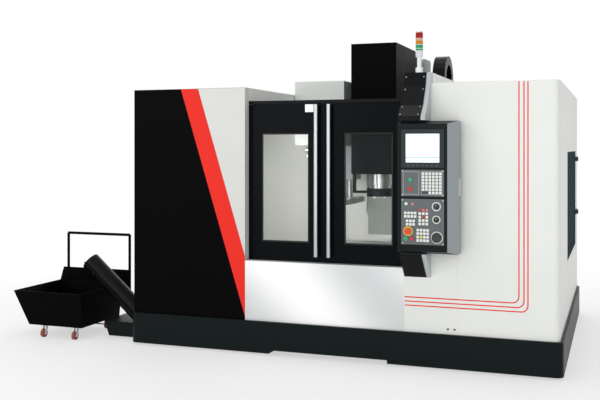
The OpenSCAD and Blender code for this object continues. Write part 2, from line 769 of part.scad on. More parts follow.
// Control box: a bevelled housing with pockets for the screen and the two panels
box_x = console_x;
box_side = 66;
panel_in = 32;
box_low = jaw_low + 5;
box_bevel = 24;
box_back = front_y - spine_reach;
box_front = box_back - box_d;
bevel_d = 90;
pocket_t = 10;
panel_gap = 0.3;
panel_x0 = box_x + panel_in;
panel_w = 325;
screen_low = box_low + 655;
screen_h = 290;
keys_low = box_low + 440;
keys_h = 200;
oper_low = box_low + 75;
oper_h = 345;
module pocket_cut(low, h) block(
    [panel_x0 - panel_gap, box_front - 1, low - panel_gap],
    [panel_x0 + panel_w + panel_gap, box_front + pocket_t, low + h + panel_gap]);
push_depth = 60;
push_hole_d = 34;
module control_box() color(cast_paint) difference() {
    union() {
        block([box_x, box_front + bevel_d, box_low], [box_x + box_w, box_back, box_low + box_h]);
        hull() {
            block([box_x, box_front + bevel_d, box_low], [box_x + box_w, box_front + bevel_d + 1,
                  box_low + box_h]);
            block([box_x, box_front, box_low + box_bevel], [box_x + box_w - box_side, box_front + 1,
                  box_low + box_h - box_bevel]);
        }
    }
    pocket_cut(screen_low, screen_h);
    pocket_cut(keys_low, keys_h);
    pocket_cut(oper_low, oper_h);
    for (hole = push_holes)
        bar_y(panel_x0 + hole[0], box_front, box_front + push_depth, oper_low + hole[1], push_hole_d);
}

// Screen: bezel and display glass in one unit
bezel = 34;
module screen() color([0.75, 0.85, 0.88]) {
    difference() {
        block([panel_x0, box_front - 8, screen_low],
              [panel_x0 + panel_w, box_front + pocket_t, screen_low + screen_h]);
        block([panel_x0 + bezel, box_front - 9, screen_low + bezel + 6],
              [panel_x0 + panel_w - bezel, box_front - 2, screen_low + screen_h - bezel]);
    }
}

// Rows of square keys standing on a panel
cap_w = 15;
cap_h = 4;
module key_grid(x, z, columns, rows, pitch_x, pitch_z, face) for (i = [0:columns - 1], j = [0:rows - 1])
    block([panel_x0 + x + i * pitch_x, face - cap_h, z + j * pitch_z],
          [panel_x0 + x + i * pitch_x + cap_w, face, z + j * pitch_z + cap_w]);

// Keyboard panel with a key field and two square power keys
panel_proud = 3;
panel_face = box_front - panel_proud;
keyboard_keys = [160, 20, 6, 7, 26, 24];
power_key_z = [40, 110];
power_key_x = 56;
power_key_w = 28;
power_key_h = 6;
module key_field(g, low) key_grid(g[0], low + g[1], g[2], g[3], g[4], g[5], panel_face);
module keyboard_panel() color(cast_paint) {
    block([panel_x0, panel_face, keys_low],
          [panel_x0 + panel_w, box_front + pocket_t, keys_low + keys_h]);
    key_field(keyboard_keys, keys_low);
    for (z = power_key_z) block([panel_x0 + power_key_x, panel_face - power_key_h, keys_low + z],
                              [panel_x0 + power_key_x + power_key_w, panel_face, keys_low + z + power_key_w]);
}

// Operator panel with key groups, dial rings and holes for the push buttons and knob shafts
push_holes = [[52, 100], [36, 44], [82, 44]];
push_d = 30;
knob_place = [[268, 290], [268, 192]];
wheel_place = [272, 58];
dial_ring_d = 74;
knob_shaft_d = 10;
panel_keys = [[24, 205, 4, 2, 25, 26], [38, 145, 3, 2, 25, 26], [135, 150, 3, 5, 27, 26],
    [120, 25, 4, 4, 25, 26], [30, 300, 2, 1, 50, 26]];
wheel_ring_t = 2;
wheel_ring_d = 92;
panel_clear = 10;
module operator_panel() color([0.43, 0.46, 0.46]) difference() {
    union() {
        block([panel_x0, panel_face, oper_low],
              [panel_x0 + panel_w, box_front + pocket_t, oper_low + oper_h]);
        for (g = panel_keys) key_field(g, oper_low);
        for (p = knob_place) bar_y(panel_x0 + p[0], panel_face - 2, panel_face, oper_low + p[1], dial_ring_d);
        bar_y(panel_x0 + wheel_place[0], panel_face - wheel_ring_t, panel_face,
              oper_low + wheel_place[1], wheel_ring_d);
    }
    for (hole = push_holes)
        bar_y(panel_x0 + hole[0], panel_face - panel_clear, box_front + push_depth, oper_low + hole[1],
              push_d + 2 * slide_gap);
    for (p = concat(knob_place, [wheel_place]))
        bar_y(panel_x0 + p[0], panel_face - panel_clear, box_front + pocket_t - 2, oper_low + p[1],
              knob_shaft_d + 2 * shaft_gap);
}

// Push buttons: a cap on a plunger
plunger_in = 20;
stop_cap = [50, 18, 8];
small_cap = [32, 6, 5];
module push_button(hole, cap_d, cap_l, stroke, paint) color(paint) {
    bar_y(panel_x0 + hole[0], panel_face - stroke - 1, box_front + plunger_in, oper_low + hole[1], push_d);
    bar_y(panel_x0 + hole[0], panel_face - stroke - cap_l, panel_face - stroke - 1, oper_low + hole[1],
          cap_d);
}
module emergency_stop() push_button(push_holes[0], stop_cap[0], stop_cap[1], stop_cap[2], [0.85, 0.25, 0.12]);
module cycle_start() push_button(push_holes[1], small_cap[0], small_cap[1], small_cap[2], [0.1, 0.5, 0.35]);
module feed_hold() push_button(push_holes[2], small_cap[0], small_cap[1], small_cap[2], [0.65, 0.1, 0.12]);

// Rotary knobs: a skirted knob with a grip bar on a shaft
knob_d = 40;
knob_h = 20;
knob_grip = 34;
grip_h = 10;
handwheel_d = 76;
crank_offset = [24, 12];
crank_d = 14;
crank_l = 26;
module rotary(place, skirt_dia, grip_l, tall) {
    x = panel_x0 + place[0];
    z = oper_low + place[1];
    bar_y(x, panel_face - 3, box_front + pocket_t - 3, z, knob_shaft_d);
    bar_y(x, panel_face - tall, panel_face - 2 - slide_gap, z, skirt_dia);
    if (grip_l > 0) translate([x, panel_face - tall - grip_h / 2, z])
        cube([grip_l / 4, grip_h, grip_l], center = true);
}
module feed_knob() color(black_paint) rotary(knob_place[0], knob_d, knob_grip, knob_h);
module spindle_knob() color(black_paint) rotary(knob_place[1], knob_d, knob_grip, knob_h);
module handwheel() color(black_paint) {
    rotary(wheel_place, handwheel_d, 0, knob_h);
    bar_y(panel_x0 + wheel_place[0] + crank_offset[0], panel_face - knob_h - crank_l, panel_face - knob_h + 1,
          oper_low + wheel_place[1] + crank_offset[1], crank_d);
}

// Signal tower on the console top
tower_x = 735;
tower_y = back(30);
tower_d = 57;
tower_base_h = 40;
tower_neck_h = 85;
lens_h = 62;
lens_gap = 4;
lens_low = console_top + tower_base_h + tower_neck_h;
module tower_pole() color(white_paint) {
    bar_z(tower_x, tower_y, console_top, console_top + tower_base_h, tower_d);
    bar_z(tower_x, tower_y, console_top, lens_low, tower_d * 0.6);
    bar_z(tower_x, tower_y, lens_low, lens_low + 3 * (lens_h + lens_gap), tower_d * 0.3);
    for (i = [0:3]) bar_z(tower_x, tower_y, lens_low + i * (lens_h + lens_gap) - lens_gap,
                          lens_low + i * (lens_h + lens_gap), tower_d);
}
module tower_lenses() color([0.8, 0.3, 0.1]) for (i = [0:2]) difference() {
    bar_z(tower_x, tower_y, lens_low + i * (lens_h + lens_gap),
          lens_low + i * (lens_h + lens_gap) + lens_h, tower_d);
    bar_z(tower_x, tower_y, lens_low + i * (lens_h + lens_gap) - 1,
          lens_low + i * (lens_h + lens_gap) + lens_h + 1, tower_d * 0.3 + 0.6);
}

// Left front panel, folded back at both edges
fold = 40;
return_d = door_recess - 6;
module left_front_panel() color(black_paint) translate([0, 0, skirt_top])
    linear_extrude(panel_top - skirt_top) difference() {
        translate([-side_x, front_y]) square([left_panel_w, return_d]);
        translate([-side_x + sheet_t, front_y + sheet_t]) square([left_panel_w - 2 * sheet_t, return_d]);
        translate([-side_x - 1, front_y + fold]) square([sheet_t + 2, return_d]);
    }

// Left side panel, folded over as the roof, with a fascia above the doors
rail_top = 2120;
module left_side_panel() color(white_paint) {
    block([-side_x, front_y + fold, skirt_top], [-side_x + sheet_t, back(enclosure_d), panel_top]);
    block([-side_x, front_y, panel_top], [left_edge, back(enclosure_d), panel_top + sheet_t]);
    block([left_edge - sheet_t, back(return_d), rail_top + 5],
          [left_edge, back(magazine_back), panel_top]);
}

// Lower front panel with a sill under the doors
module lower_front_panel() color(steel) {
    block([left_edge, front_y, skirt_top], [console_x - 5, front_y + sheet_t, door_bottom]);
    block([left_edge, front_y, door_bottom - sheet_t],
          [console_x - 5, back(return_d), door_bottom]);
}

// Right centre panel: the front beside the console and the raised wall behind it
wall_back = 1300;
module right_center_panel() color(white_paint) {
    along_y(front_y, front_y + sheet_t) polygon([
        [console_x - 5, skirt_top], [seam_x, skirt_top], [seam_x, panel_top], [right_edge, panel_top],
        [right_edge, console_low], [console_x - 5, console_low]]);
    block([right_edge - sheet_t, back(return_d), rail_top + 5],
          [right_edge, back(wall_back), console_top]);
}

// Right panel: front, rounded corner and side in one sheet, with the roof and the side hinge pins
side_open_front = 1000;
side_open_back = enclosure_d - 350;
side_open_low = 760;
side_open_high = 1690;
knuckle_d = 26;
hinge_x = side_x + knuckle_d / 2 + 1;
hinge_back = side_open_back + 5;
hinge_pin_d = 12;
knuckle_h = 40;
bracket_h = 12;
hinge_z = [1590, 1060];
seam_lap = 10;
return_short = 20;
module corner_plan(inset) {
    translate([seam_x - seam_lap, front_y + corner_r])
        square([corner_panel_w + seam_lap - inset, enclosure_d - corner_r]);
    translate([seam_x - seam_lap, front_y + inset])
        square([corner_panel_w + seam_lap - corner_r, enclosure_d - inset]);
    translate([side_x - corner_r, front_y + corner_r]) circle(corner_r - inset);
}
module right_panel() color(white_paint) {
    difference() {
        translate([0, 0, skirt_top]) linear_extrude(panel_top - skirt_top) difference() {
            corner_plan(0);
            corner_plan(sheet_t);
            translate([seam_x - seam_lap - 1, front_y - 1]) square([seam_lap + 1, enclosure_d + 2]);
            translate([seam_x - seam_lap - 1, back(enclosure_d) - sheet_t])
                square([corner_panel_w - return_short, sheet_t + 1]);
        }
        block([side_x - 2 * sheet_t, back(side_open_front), side_open_low],
              [side_x + 1, back(side_open_back), side_open_high]);
    }
    translate([0, 0, panel_top]) linear_extrude(sheet_t) union() {
        intersection() {
            corner_plan(0);
            translate([seam_x, front_y - 1]) square([corner_panel_w + 1, enclosure_d + 2]);
        }
        translate([right_edge, front_y]) square([seam_x - right_edge, enclosure_d]);
    }
    for (z = hinge_z) {
        bar_z(hinge_x, back(hinge_back), z - 1, z + knuckle_h + bracket_h, hinge_pin_d);
        block([side_x, back(hinge_back) - hinge_pin_d / 2, z + knuckle_h + slide_gap],
              [hinge_x + hinge_pin_d / 2, back(hinge_back) + knuckle_h, z + knuckle_h + bracket_h]);
    }
}

// Side door with hinge knuckles and a rib frame round its pane
side_door_t = 18;
side_gap = 3;
side_set = 2;
lug_l = 90;
pane_in = 70;
pane_d = 6;
module side_door() color(black_paint) difference() {
    union() {
        block([side_x - side_door_t - side_set, back(side_open_front + side_gap), side_open_low + side_gap],
              [side_x - side_set, back(side_open_back - side_gap), side_open_high - side_gap]);
        for (z = hinge_z) {
            bar_z(hinge_x, back(hinge_back), z, z + knuckle_h, knuckle_d);
            block([side_x - side_set, back(side_open_back - lug_l), z],
                  [hinge_x, back(side_open_back - side_gap), z + knuckle_h]);
            block([side_x + 1, back(side_open_back - lug_l), z], [hinge_x, back(hinge_back), z + knuckle_h]);
        }
    }
    for (z = hinge_z)
        bar_z(hinge_x, back(hinge_back), z - 1, z + knuckle_h + 1, hinge_pin_d + 2 * shaft_gap);
    block([side_x - side_set - pane_d, back(side_open_front + pane_in), side_open_low + pane_in],
          [side_x + 1, back(side_open_back - lug_l - pane_in / 2), side_open_high - pane_in]);
}

// Doors: framed sheets with a window rebate and two hangers in the top rail
window_low = 935;
window_high = 1850;
rebate = 12;
rebate_at = 20;
glass_t = 6;
hanger_h = 17.6;
hanger_l = 100;
hanger_t = 16;
hanger_at = 12;
hanger_in = 60;
hanger_gap = 4;
pane_gap = 0.5;
left_window_x = [-630, -202];
right_window_x = [97, 509];
module door_sheet(x0, window_x) difference() {
    union() {
        block([x0, back(door_recess), door_bottom], [x0 + door_w, back(door_recess + door_t), door_top]);
        for (x = [x0 + hanger_in, x0 + door_w - hanger_in - hanger_l])
            block([x, back(door_recess + hanger_at), door_top],
                  [x + hanger_l, back(door_recess + hanger_at + hanger_t), door_top + hanger_h]);
    }
    block([window_x[0], back(door_recess) - 1, window_low],
          [window_x[1], back(door_recess + door_t) + 1, window_high]);
    block([window_x[0] - rebate, back(door_recess + rebate_at), window_low - rebate],
          [window_x[1] + rebate, back(door_recess + door_t) + 1, window_high + rebate]);
}
module pane(window_x) block(
    [window_x[0] - rebate + pane_gap, back(door_recess + rebate_at), window_low - rebate + pane_gap],
    [window_x[1] + rebate - pane_gap, back(door_recess + rebate_at + glass_t),
     window_high + rebate - pane_gap]);
left_door_x = door_meet_x - door_w - 1;
right_door_x = door_meet_x + 1;
module left_door() color(black_paint) door_sheet(left_door_x, left_window_x);
module right_door() color(black_paint) door_sheet(right_door_x, right_window_x);
module left_window() color([0.8, 0.85, 0.85, 0.4]) pane(left_window_x);
module right_window() color([0.8, 0.85, 0.85, 0.4]) pane(right_window_x);

// Bar handles on two standoffs
handle_d = 38;
standoff_d = 22;
standoff_l = 45;
handle_low = 830;
handle_end = 60;
left_handle_in = 70;
right_handle_in = 40;
module handle(x) color(steel) {
    bar_z(x, back(door_recess - standoff_l), handle_low, handle_low + handle_l, handle_d);
    for (z = [handle_low + handle_end, handle_low + handle_l - handle_end])
        bar_y(x, back(door_recess - standoff_l), back(door_recess), z, standoff_d);
}
module left_handle() handle(door_meet_x - left_handle_in);
module right_handle() handle(door_meet_x + right_handle_in);

// Door track: a top rail with a hanger channel and a grooved lower track
track_spare = 20;
track_h = 24;
track_left = left_door_x - door_stroke - track_spare;
track_right = right_door_x + door_w + door_stroke + track_spare;
track_front = return_d;
track_back = door_recess + door_t + 5;
module door_track() color(black_paint) {
    along_x(track_left, track_right) difference() {
        translate([back(track_front), door_top + 2])
            square([track_back - track_front, rail_top - door_top - 2]);
        translate([back(door_recess + hanger_at - hanger_gap), door_top + 1])
            square([hanger_t + 2 * hanger_gap, hanger_h + slide_gap - 1]);
    }
    block([track_left, back(track_front), door_bottom - track_h],
          [track_right, back(track_back), door_bottom - slide_gap]);
}

// Inner splash guards: side walls, rear wall, sloped pans, screw trough and the fixed front way plate
guard_left = -1500;
guard_right = 1660;
guard_back = 2020;
guard_top = 2000;
guard_front = 140;
guard_gap = 1;
pan_rear_z = 557;
pan_front_z = 440;
trough_back = 250;
trough_r = 98;
trough_wall = 120;
pan_gap = 5;
fixed_t = 4;
fixed_back = 695;
tunnel_gap = 10;
slot_half = 325;
slot_low = 1050;
fixed_half = 430;
fixed_z = 626;
module pan(x0, x1) along_x(x0, x1) polygon([
    [back(guard_back), pan_rear_z], [back(guard_back), pan_rear_z + sheet_t],
    [back(trough_back + trough_r), pan_front_z + sheet_t], [back(trough_back + trough_r), pan_front_z]]);
module inner_guard() color(wall_paint) {
    difference() {
        block([guard_left, back(guard_back), bed_top + guard_gap],
              [guard_right, back(guard_back) + sheet_t, guard_top]);
        block([spindle_x - slot_half, back(guard_back) - 1, slot_low],
              [spindle_x + slot_half, back(guard_back) + sheet_t + 1, guard_top + 1]);
        block([spindle_x - bed_half + leg_w - tunnel_gap, back(guard_back) - 1, bed_top],
              [spindle_x + bed_half - leg_w + tunnel_gap, back(guard_back) + sheet_t + 1, tunnel_top]);
    }
    for (x = [guard_left, guard_right - sheet_t])
        block([x, back(guard_front), pan_front_z], [x + sheet_t, back(guard_back), guard_top]);
    pan(guard_left, spindle_x - bed_half - pan_gap);
    pan(spindle_x + bed_half + pan_gap, guard_right);
    along_x(-side_x + sheet_t, guard_right) translate([back(trough_back), pan_front_z]) difference() {
        union() {
            circle(trough_r);
            translate([-trough_r, 0]) square([2 * trough_r, trough_wall]);
        }
        circle(trough_r - sheet_t);
        translate([-trough_r + sheet_t, 0]) square([2 * (trough_r - sheet_t), trough_wall + 1]);
        translate([0, sheet_t]) square([trough_r + 1, trough_wall + 1]);
    }
    along_y(back(trough_back + trough_r), back(fixed_back)) translate([spindle_x, 0]) difference() {
        translate([-fixed_half, bed_top]) square([2 * fixed_half, fixed_z + fixed_t - bed_top]);
        translate([-fixed_half + fixed_t, bed_top - 1])
            square([2 * (fixed_half - fixed_t), fixed_z - bed_top + 1]);
    }
}

// Rear cabinet: the left rear sheet and the electrical cabinet box with its mounting plate and inlet
cabinet_d = 350;
cabinet_left = 640;
cabinet_right = 1786;
cabinet_front = enclosure_d - cabinet_d;
cabinet_low = skirt_top;
cabinet_high = 2200;
inlet_d = 63;
inlet_in = 100;
rear_sheet_right = -470;
plate_margin = 55;
plate_d = 40;
cabinet_door_t = 22;
barrel_d = 12;
barrel_h = 80;
barrel_x = cabinet_right + 4;
barrel_y = back(enclosure_d) + cabinet_door_t / 2;
barrel_z = [cabinet_low + 220, (cabinet_low + cabinet_high) / 2, cabinet_high - 300];
module rear_cabinet() color(white_paint) {
    block([-side_x + sheet_t, back(enclosure_d) - sheet_t, skirt_top],
          [rear_sheet_right, back(enclosure_d), panel_top]);
    difference() {
        block([cabinet_left, back(cabinet_front), cabinet_low],
              [cabinet_right, back(enclosure_d), cabinet_high]);
        block([cabinet_left + sheet_t, back(cabinet_front) + sheet_t, cabinet_low + sheet_t],
              [cabinet_right - sheet_t, back(enclosure_d) + 1, cabinet_high - sheet_t]);
        bar_z(cabinet_left + inlet_in, back(enclosure_d - inlet_in), cabinet_high - sheet_t - 1,
              cabinet_high + 1, inlet_d);
    }
    block([cabinet_left + plate_margin, back(cabinet_front) + sheet_t, cabinet_low + 2 * plate_margin],
          [cabinet_right - plate_margin, back(cabinet_front + plate_d), cabinet_high - 2 * plate_margin]);
    for (z = barrel_z) {
        bar_z(barrel_x, barrel_y, z, z + barrel_h, barrel_d);
        block([cabinet_right - sheet_t, back(enclosure_d) - barrel_d, z],
              [barrel_x + barrel_d / 2, barrel_y, z + barrel_h]);
    }
}

// Cabinet door on a pin at its right edge, and the main switch
switch_in = 120;
switch_x = cabinet_left + switch_in;
switch_z = 1500;
switch_shaft_d = 20;
switch_d = 60;
switch_base_h = 16;
switch_grip_h = 20;
switch_face = back(enclosure_d) + cabinet_door_t;
cabinet_middle = (cabinet_left + cabinet_right) / 2;
louvre_w = 500;
louvre_h = 8;
louvre_pitch = 22;
louvre_rows = 6;
louvre_end = 130;
door_rise = 20;
module cabinet_door() color(white_paint) difference() {
    block([cabinet_left, back(enclosure_d) + slide_gap, cabinet_low + door_rise],
          [cabinet_right - 4, back(enclosure_d) + cabinet_door_t, cabinet_high]);
    bar_y(switch_x, back(enclosure_d) - 1, back(enclosure_d) + cabinet_door_t + 1, switch_z,
          switch_shaft_d + 2 * shaft_gap);
    for (z = [cabinet_high - louvre_end - louvre_rows * louvre_pitch, cabinet_low + louvre_end],
         i = [0:louvre_rows - 1])
        block([cabinet_middle - louvre_w / 2, back(enclosure_d) - 1, z + i * louvre_pitch],
              [cabinet_middle + louvre_w / 2, back(enclosure_d) + cabinet_door_t + 1,
               z + i * louvre_pitch + louvre_h]);
}
module main_switch() color([0.8, 0.1, 0.1]) {
    bar_y(switch_x, switch_face - cabinet_door_t + 2, switch_face + 2, switch_z, switch_shaft_d);
    bar_y(switch_x, switch_face + slide_gap, switch_face + switch_base_h, switch_z, switch_d);
    translate([switch_x, switch_face + switch_base_h + switch_grip_h / 2 - 1, switch_z])
        cube([switch_d / 4, switch_grip_h, switch_d - 4], center = true);
}

// Chip chute: an inclined half-round housing with side flanges, end bearing plate and a discharge mouth
chute_x = -2410;
chute_z = 672;
chute_l = 760;
chute_wall = 4;
chute_flange = 22;
mouth_l = 170;
cap_t = 12;
auger_d = chute_d - 2 * chute_wall - 14;
auger_shaft_d = 40;
auger_l = 560;
auger_pitch = 120;
flight_t = 8;
flight_gap = 6;
flight_l = auger_l - cap_t - 30;
chute_low_z = sump_top;
module on_chute() translate([chute_x, back(trough_back), chute_z])
    rotate([0, 90 + chute_angle, 0]) children();
module chip_chute() color(black_paint) difference() {
    intersection() {
        on_chute() difference() {
            union() {
                cylinder(d = chute_d, h = chute_l);
                translate([-4, -chute_d / 2 - chute_flange, 0])
                    cube([8, chute_d + 2 * chute_flange, chute_l]);
            }
            translate([0, 0, cap_t]) cylinder(d = chute_d - 2 * chute_wall, h = chute_l);
            translate([0, 0, -1]) cylinder(d = auger_shaft_d + 2 * shaft_gap, h = cap_t + 2);
            translate([5, -chute_d, cap_t]) cube([chute_d, 2 * chute_d, mouth_l]);
        }
        block([chute_x - chute_l, front_y, chute_low_z],
              [-skirt_w / 2, back(2 * trough_back), chute_z + chute_l]);
    }
}

// Chip auger: a shaft with a helical flight
module chip_auger() color(steel) on_chute() {
    cylinder(d = auger_shaft_d, h = auger_l);
    translate([0, 0, cap_t + flight_gap])
        linear_extrude(flight_l, twist = -360 * flight_l / auger_pitch, slices = 72, $fa = 360, $fs = 1000)
        translate([auger_shaft_d / 4, -flight_t / 2])
        square([auger_d / 2 - auger_shaft_d / 4, flight_t]);
}

// Chip cart: a flared hopper with a raised back, handle frame, swivel bosses and rear wheel brackets
cart_right = -2290;
cart_left = cart_right - cart_w;
cart_front = -100;
cart_back = 612;
cart_floor = 112;
cart_wall = 4;
cart_taper = 140;
cart_slope = 40;
cart_back_top = 550;
handle_left = -2910;
handle_right = -2220;
cart_bar_z = 885;
tube_d = 26;
post_in = 15;
post_low = 300;
caster_x = [-2720, -2390];
caster_back = -10;
rear_axle_back = 500;
stem_d = 16;
boss_d = 50;
axle_d = 12;
wheel_w = 26;
fork_t = 4;
fork_trail = 22;
wheel_z = wheel_d / 2;
fork_top = 104;
cart_side = 10;
module hopper_form(inset, floor_z) hull() {
    block([cart_left + inset, back(cart_front) + inset, cart_lip],
          [cart_right - inset, back(cart_back) - inset, cart_lip + (inset > 0 ? 2 : 0.01)]);
    block([cart_left + cart_taper + inset, back(cart_front) + cart_slope + inset, floor_z],
          [cart_right - cart_side - inset, back(cart_back) - cart_slope - inset, floor_z + 0.01]);
}
bracket_half = 20;
bracket_under = 12;
axle_cut = 60;
module cart_hopper() color(black_paint) {
    difference() {
        hopper_form(0, cart_floor);
        hopper_form(cart_wall, cart_floor + cart_wall);
        for (x = caster_x) bar_z(x, back(caster_back), cart_floor - 1, cart_floor + cart_wall + 2,
                                 stem_d + 2 * shaft_gap);
    }
    block([handle_left - post_in, back(cart_back), post_low],
          [handle_right + post_in, back(cart_back) + cart_wall, cart_back_top]);
    for (x = [handle_left, handle_right])
        bar_z(x, back(cart_back) + cart_wall + tube_d / 2 - 1, post_low, cart_bar_z, tube_d);
    bar_x(handle_left, handle_right, back(cart_back) + cart_wall + tube_d / 2 - 1, cart_bar_z, tube_d);
    for (x = caster_x) {
        difference() {
            bar_z(x, back(caster_back), fork_top + slide_gap, cart_floor + 1, boss_d);
            bar_z(x, back(caster_back), fork_top, cart_floor + 2, stem_d + 2 * shaft_gap);
        }
        difference() {
            for (side = [-1, 1]) translate([x + side * (wheel_w / 2 + 3) - fork_t / 2, 0, 0])
                block([0, back(rear_axle_back) - bracket_half, wheel_z - bracket_under],
                      [fork_t, back(rear_axle_back) + bracket_half, cart_floor + 1]);
            bar_x(x - axle_cut, x + axle_cut, back(rear_axle_back), wheel_z, axle_d + 2 * shaft_gap);
        }
    }
}
fork_half = 18;
fork_plate = 5;
fork_end = 14;
module fork(x) color(steel) {
    bar_z(x, back(caster_back), fork_top - 6, fork_top, boss_d);
    bar_z(x, back(caster_back), fork_top - 1, cart_floor + cart_wall, stem_d);
    for (side = [-1, 1]) translate([x + side * (wheel_w / 2 + 3) - fork_t / 2, 0, 0])
        along_x(0, fork_t) polygon([
            [back(caster_back) - fork_half, fork_top - fork_plate],
            [back(caster_back) + fork_half, fork_top - fork_plate],
            [back(caster_back) - fork_trail + fork_end, wheel_z - bracket_under],
            [back(caster_back) - fork_trail - fork_end, wheel_z - bracket_under]]);
    bar_x(x - wheel_w / 2 - 4, x + wheel_w / 2 + 4, back(caster_back) - fork_trail, wheel_z, axle_d);
}
module wheel_disc(x, y) difference() {
    translate([x - wheel_w / 2, y, wheel_z]) rotate([0, 90, 0]) cylinder(d = wheel_d, h = wheel_w);
    bar_x(x - wheel_w, x + wheel_w, y, wheel_z, axle_d + 2 * shaft_gap);
}
module cart_fork_left() fork(caster_x[0]);
module cart_fork_right() fork(caster_x[1]);
module cart_wheel_left() color([0.5, 0.22, 0.2]) wheel_disc(caster_x[0], back(caster_back) - fork_trail);
module cart_wheel_right() color([0.5, 0.22, 0.2]) wheel_disc(caster_x[1], back(caster_back) - fork_trail);
axle_over = 40;
module cart_rear_wheels() color([0.5, 0.22, 0.2]) {
    for (x = caster_x) translate([x - wheel_w / 2, back(rear_axle_back), wheel_z]) rotate([0, 90, 0])
        cylinder(d = wheel_d, h = wheel_w);
    bar_x(caster_x[0] - axle_over, caster_x[1] + axle_over, back(rear_axle_back), wheel_z, axle_d);
}

base_skirt();
levelling_pads();
bed_casting();
column_casting();
feed_drives();
saddle();
y_way_covers();
table();
head_casting();
head_cover();
spindle_nose();
coolant_ring();
spindle();
z_cover_upper();
z_cover_mid();
cable_chain();
atc_frame();
magazine_cover();
magazine_disc();
arm_shaft();
tool_arm();
control_console();
console_plates();
control_box();
screen();
keyboard_panel();
operator_panel();
emergency_stop();
cycle_start();
feed_hold();
feed_knob();
spindle_knob();
handwheel();
tower_pole();
tower_lenses();
left_front_panel();
left_side_panel();
lower_front_panel();
right_center_panel();
right_panel();
rear_cabinet();
left_door();
left_window();
left_handle();
right_door();
right_window();
right_handle();
door_track();
side_door();
inner_guard();
chip_chute();
chip_auger();
cart_hopper();
cart_fork_left();
cart_fork_right();
cart_wheel_left();
cart_wheel_right();
cart_rear_wheels();
cabinet_door();
main_switch();
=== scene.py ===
"""Looks of an enclosed vertical machining center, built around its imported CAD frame."""

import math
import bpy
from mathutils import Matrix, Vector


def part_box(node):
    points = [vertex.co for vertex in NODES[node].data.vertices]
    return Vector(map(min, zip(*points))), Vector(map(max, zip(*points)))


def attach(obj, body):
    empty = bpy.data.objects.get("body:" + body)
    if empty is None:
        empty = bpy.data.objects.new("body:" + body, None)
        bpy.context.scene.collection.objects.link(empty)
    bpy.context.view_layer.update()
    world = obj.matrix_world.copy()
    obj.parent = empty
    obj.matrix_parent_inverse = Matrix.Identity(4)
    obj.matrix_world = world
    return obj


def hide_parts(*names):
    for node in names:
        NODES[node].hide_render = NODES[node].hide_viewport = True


bl_info = {
    "name": "Machining Center",
    "version": (1, 0, 0),
    "blender": (4, 5, 0),
    "location": "View3D > Sidebar > Machine",
    "description": "Finishes, trim and a studio stage for an enclosed vertical machining center",
    "category": "Object",
}

from collections import defaultdict

import bmesh
import bpy
from mathutils import Matrix, Vector

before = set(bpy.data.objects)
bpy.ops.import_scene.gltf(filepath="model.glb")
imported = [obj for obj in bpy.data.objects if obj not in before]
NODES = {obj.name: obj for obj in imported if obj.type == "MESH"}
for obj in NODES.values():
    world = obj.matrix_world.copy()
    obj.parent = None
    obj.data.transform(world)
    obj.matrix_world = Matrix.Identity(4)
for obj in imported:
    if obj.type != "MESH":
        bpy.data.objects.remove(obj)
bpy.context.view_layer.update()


def srgb(red, green, blue):
    """A colour as seen on a screen, from 0 to 255, turned into linear light."""
    def channel(value):
        c = value / 255
        return c / 12.92 if c <= 0.04045 else ((c + 0.055) / 1.055) ** 2.4
    return tuple(channel(v) for v in (red, green, blue))


def colour(label, words, default):
    return bpy.props.FloatVectorProperty(
        name=label, description=words, subtype="COLOR", size=3, min=0, max=1, default=default)


def length(label, words, default):
    return bpy.props.FloatProperty(
        name=label, description=words, subtype="DISTANCE", unit="LENGTH", min=0, default=default)


class FinishColours(bpy.types.PropertyGroup):
    """Colours of the paints, metals and plastics."""

    panel_white: colour("Panel white", "Enclosure panels", srgb(226, 228, 224))
    side_grey: colour("Side grey", "Pale field beside the stripe", srgb(211, 212, 207))
    panel_black: colour("Panel black", "Console plates, track, chute and chain", srgb(10, 11, 14))
    door_black: colour("Door black", "Gloss coat of the sliding doors", srgb(8, 12, 15))
    skirt_dark: colour("Skirt dark", "Base skirt", srgb(9, 18, 18))
    stripe_red: colour("Stripe red", "Vinyl stripe and pinstripes", srgb(234, 46, 36))
    guard_grey: colour("Guard grey", "Inner splash guards", srgb(204, 205, 199))
    cast_grey: colour("Cast grey", "Painted castings", srgb(150, 156, 156))
    control_grey: colour("Control grey", "Keyboard and operator panels", srgb(86, 93, 95))
    box_grey: colour("Box grey", "Right side of the control box", srgb(148, 155, 158))
    stainless: colour("Stainless", "Lower panel, turned and plated steel", srgb(205, 207, 208))
    machined: colour("Machined", "Ground iron of the table and tool arm", srgb(165, 168, 164))
    way_cover: colour("Way cover", "Telescopic covers", srgb(126, 132, 126))
    rubber_black: colour("Rubber black", "Gaskets and plugs", srgb(20, 20, 21))
    wheel_brown: colour("Wheel brown", "Cart wheels", srgb(150, 72, 64))
    stop_red: colour("Stop red", "Emergency stop and main switch", srgb(214, 62, 30))
    start_green: colour("Start green", "Start button, power key and green lamp", srgb(40, 150, 105))
    hold_red: colour("Hold red", "Hold button and power key", srgb(178, 36, 40))
    ring_yellow: colour("Ring yellow", "Emergency stop ring", srgb(228, 190, 50))
    lamp_orange: colour("Lamp orange", "Orange lamp", srgb(200, 126, 42))
    key_white: colour("Key white", "White keys", srgb(228, 230, 226))
    display_glow: colour("Display glow", "Lit screen", srgb(226, 240, 242))


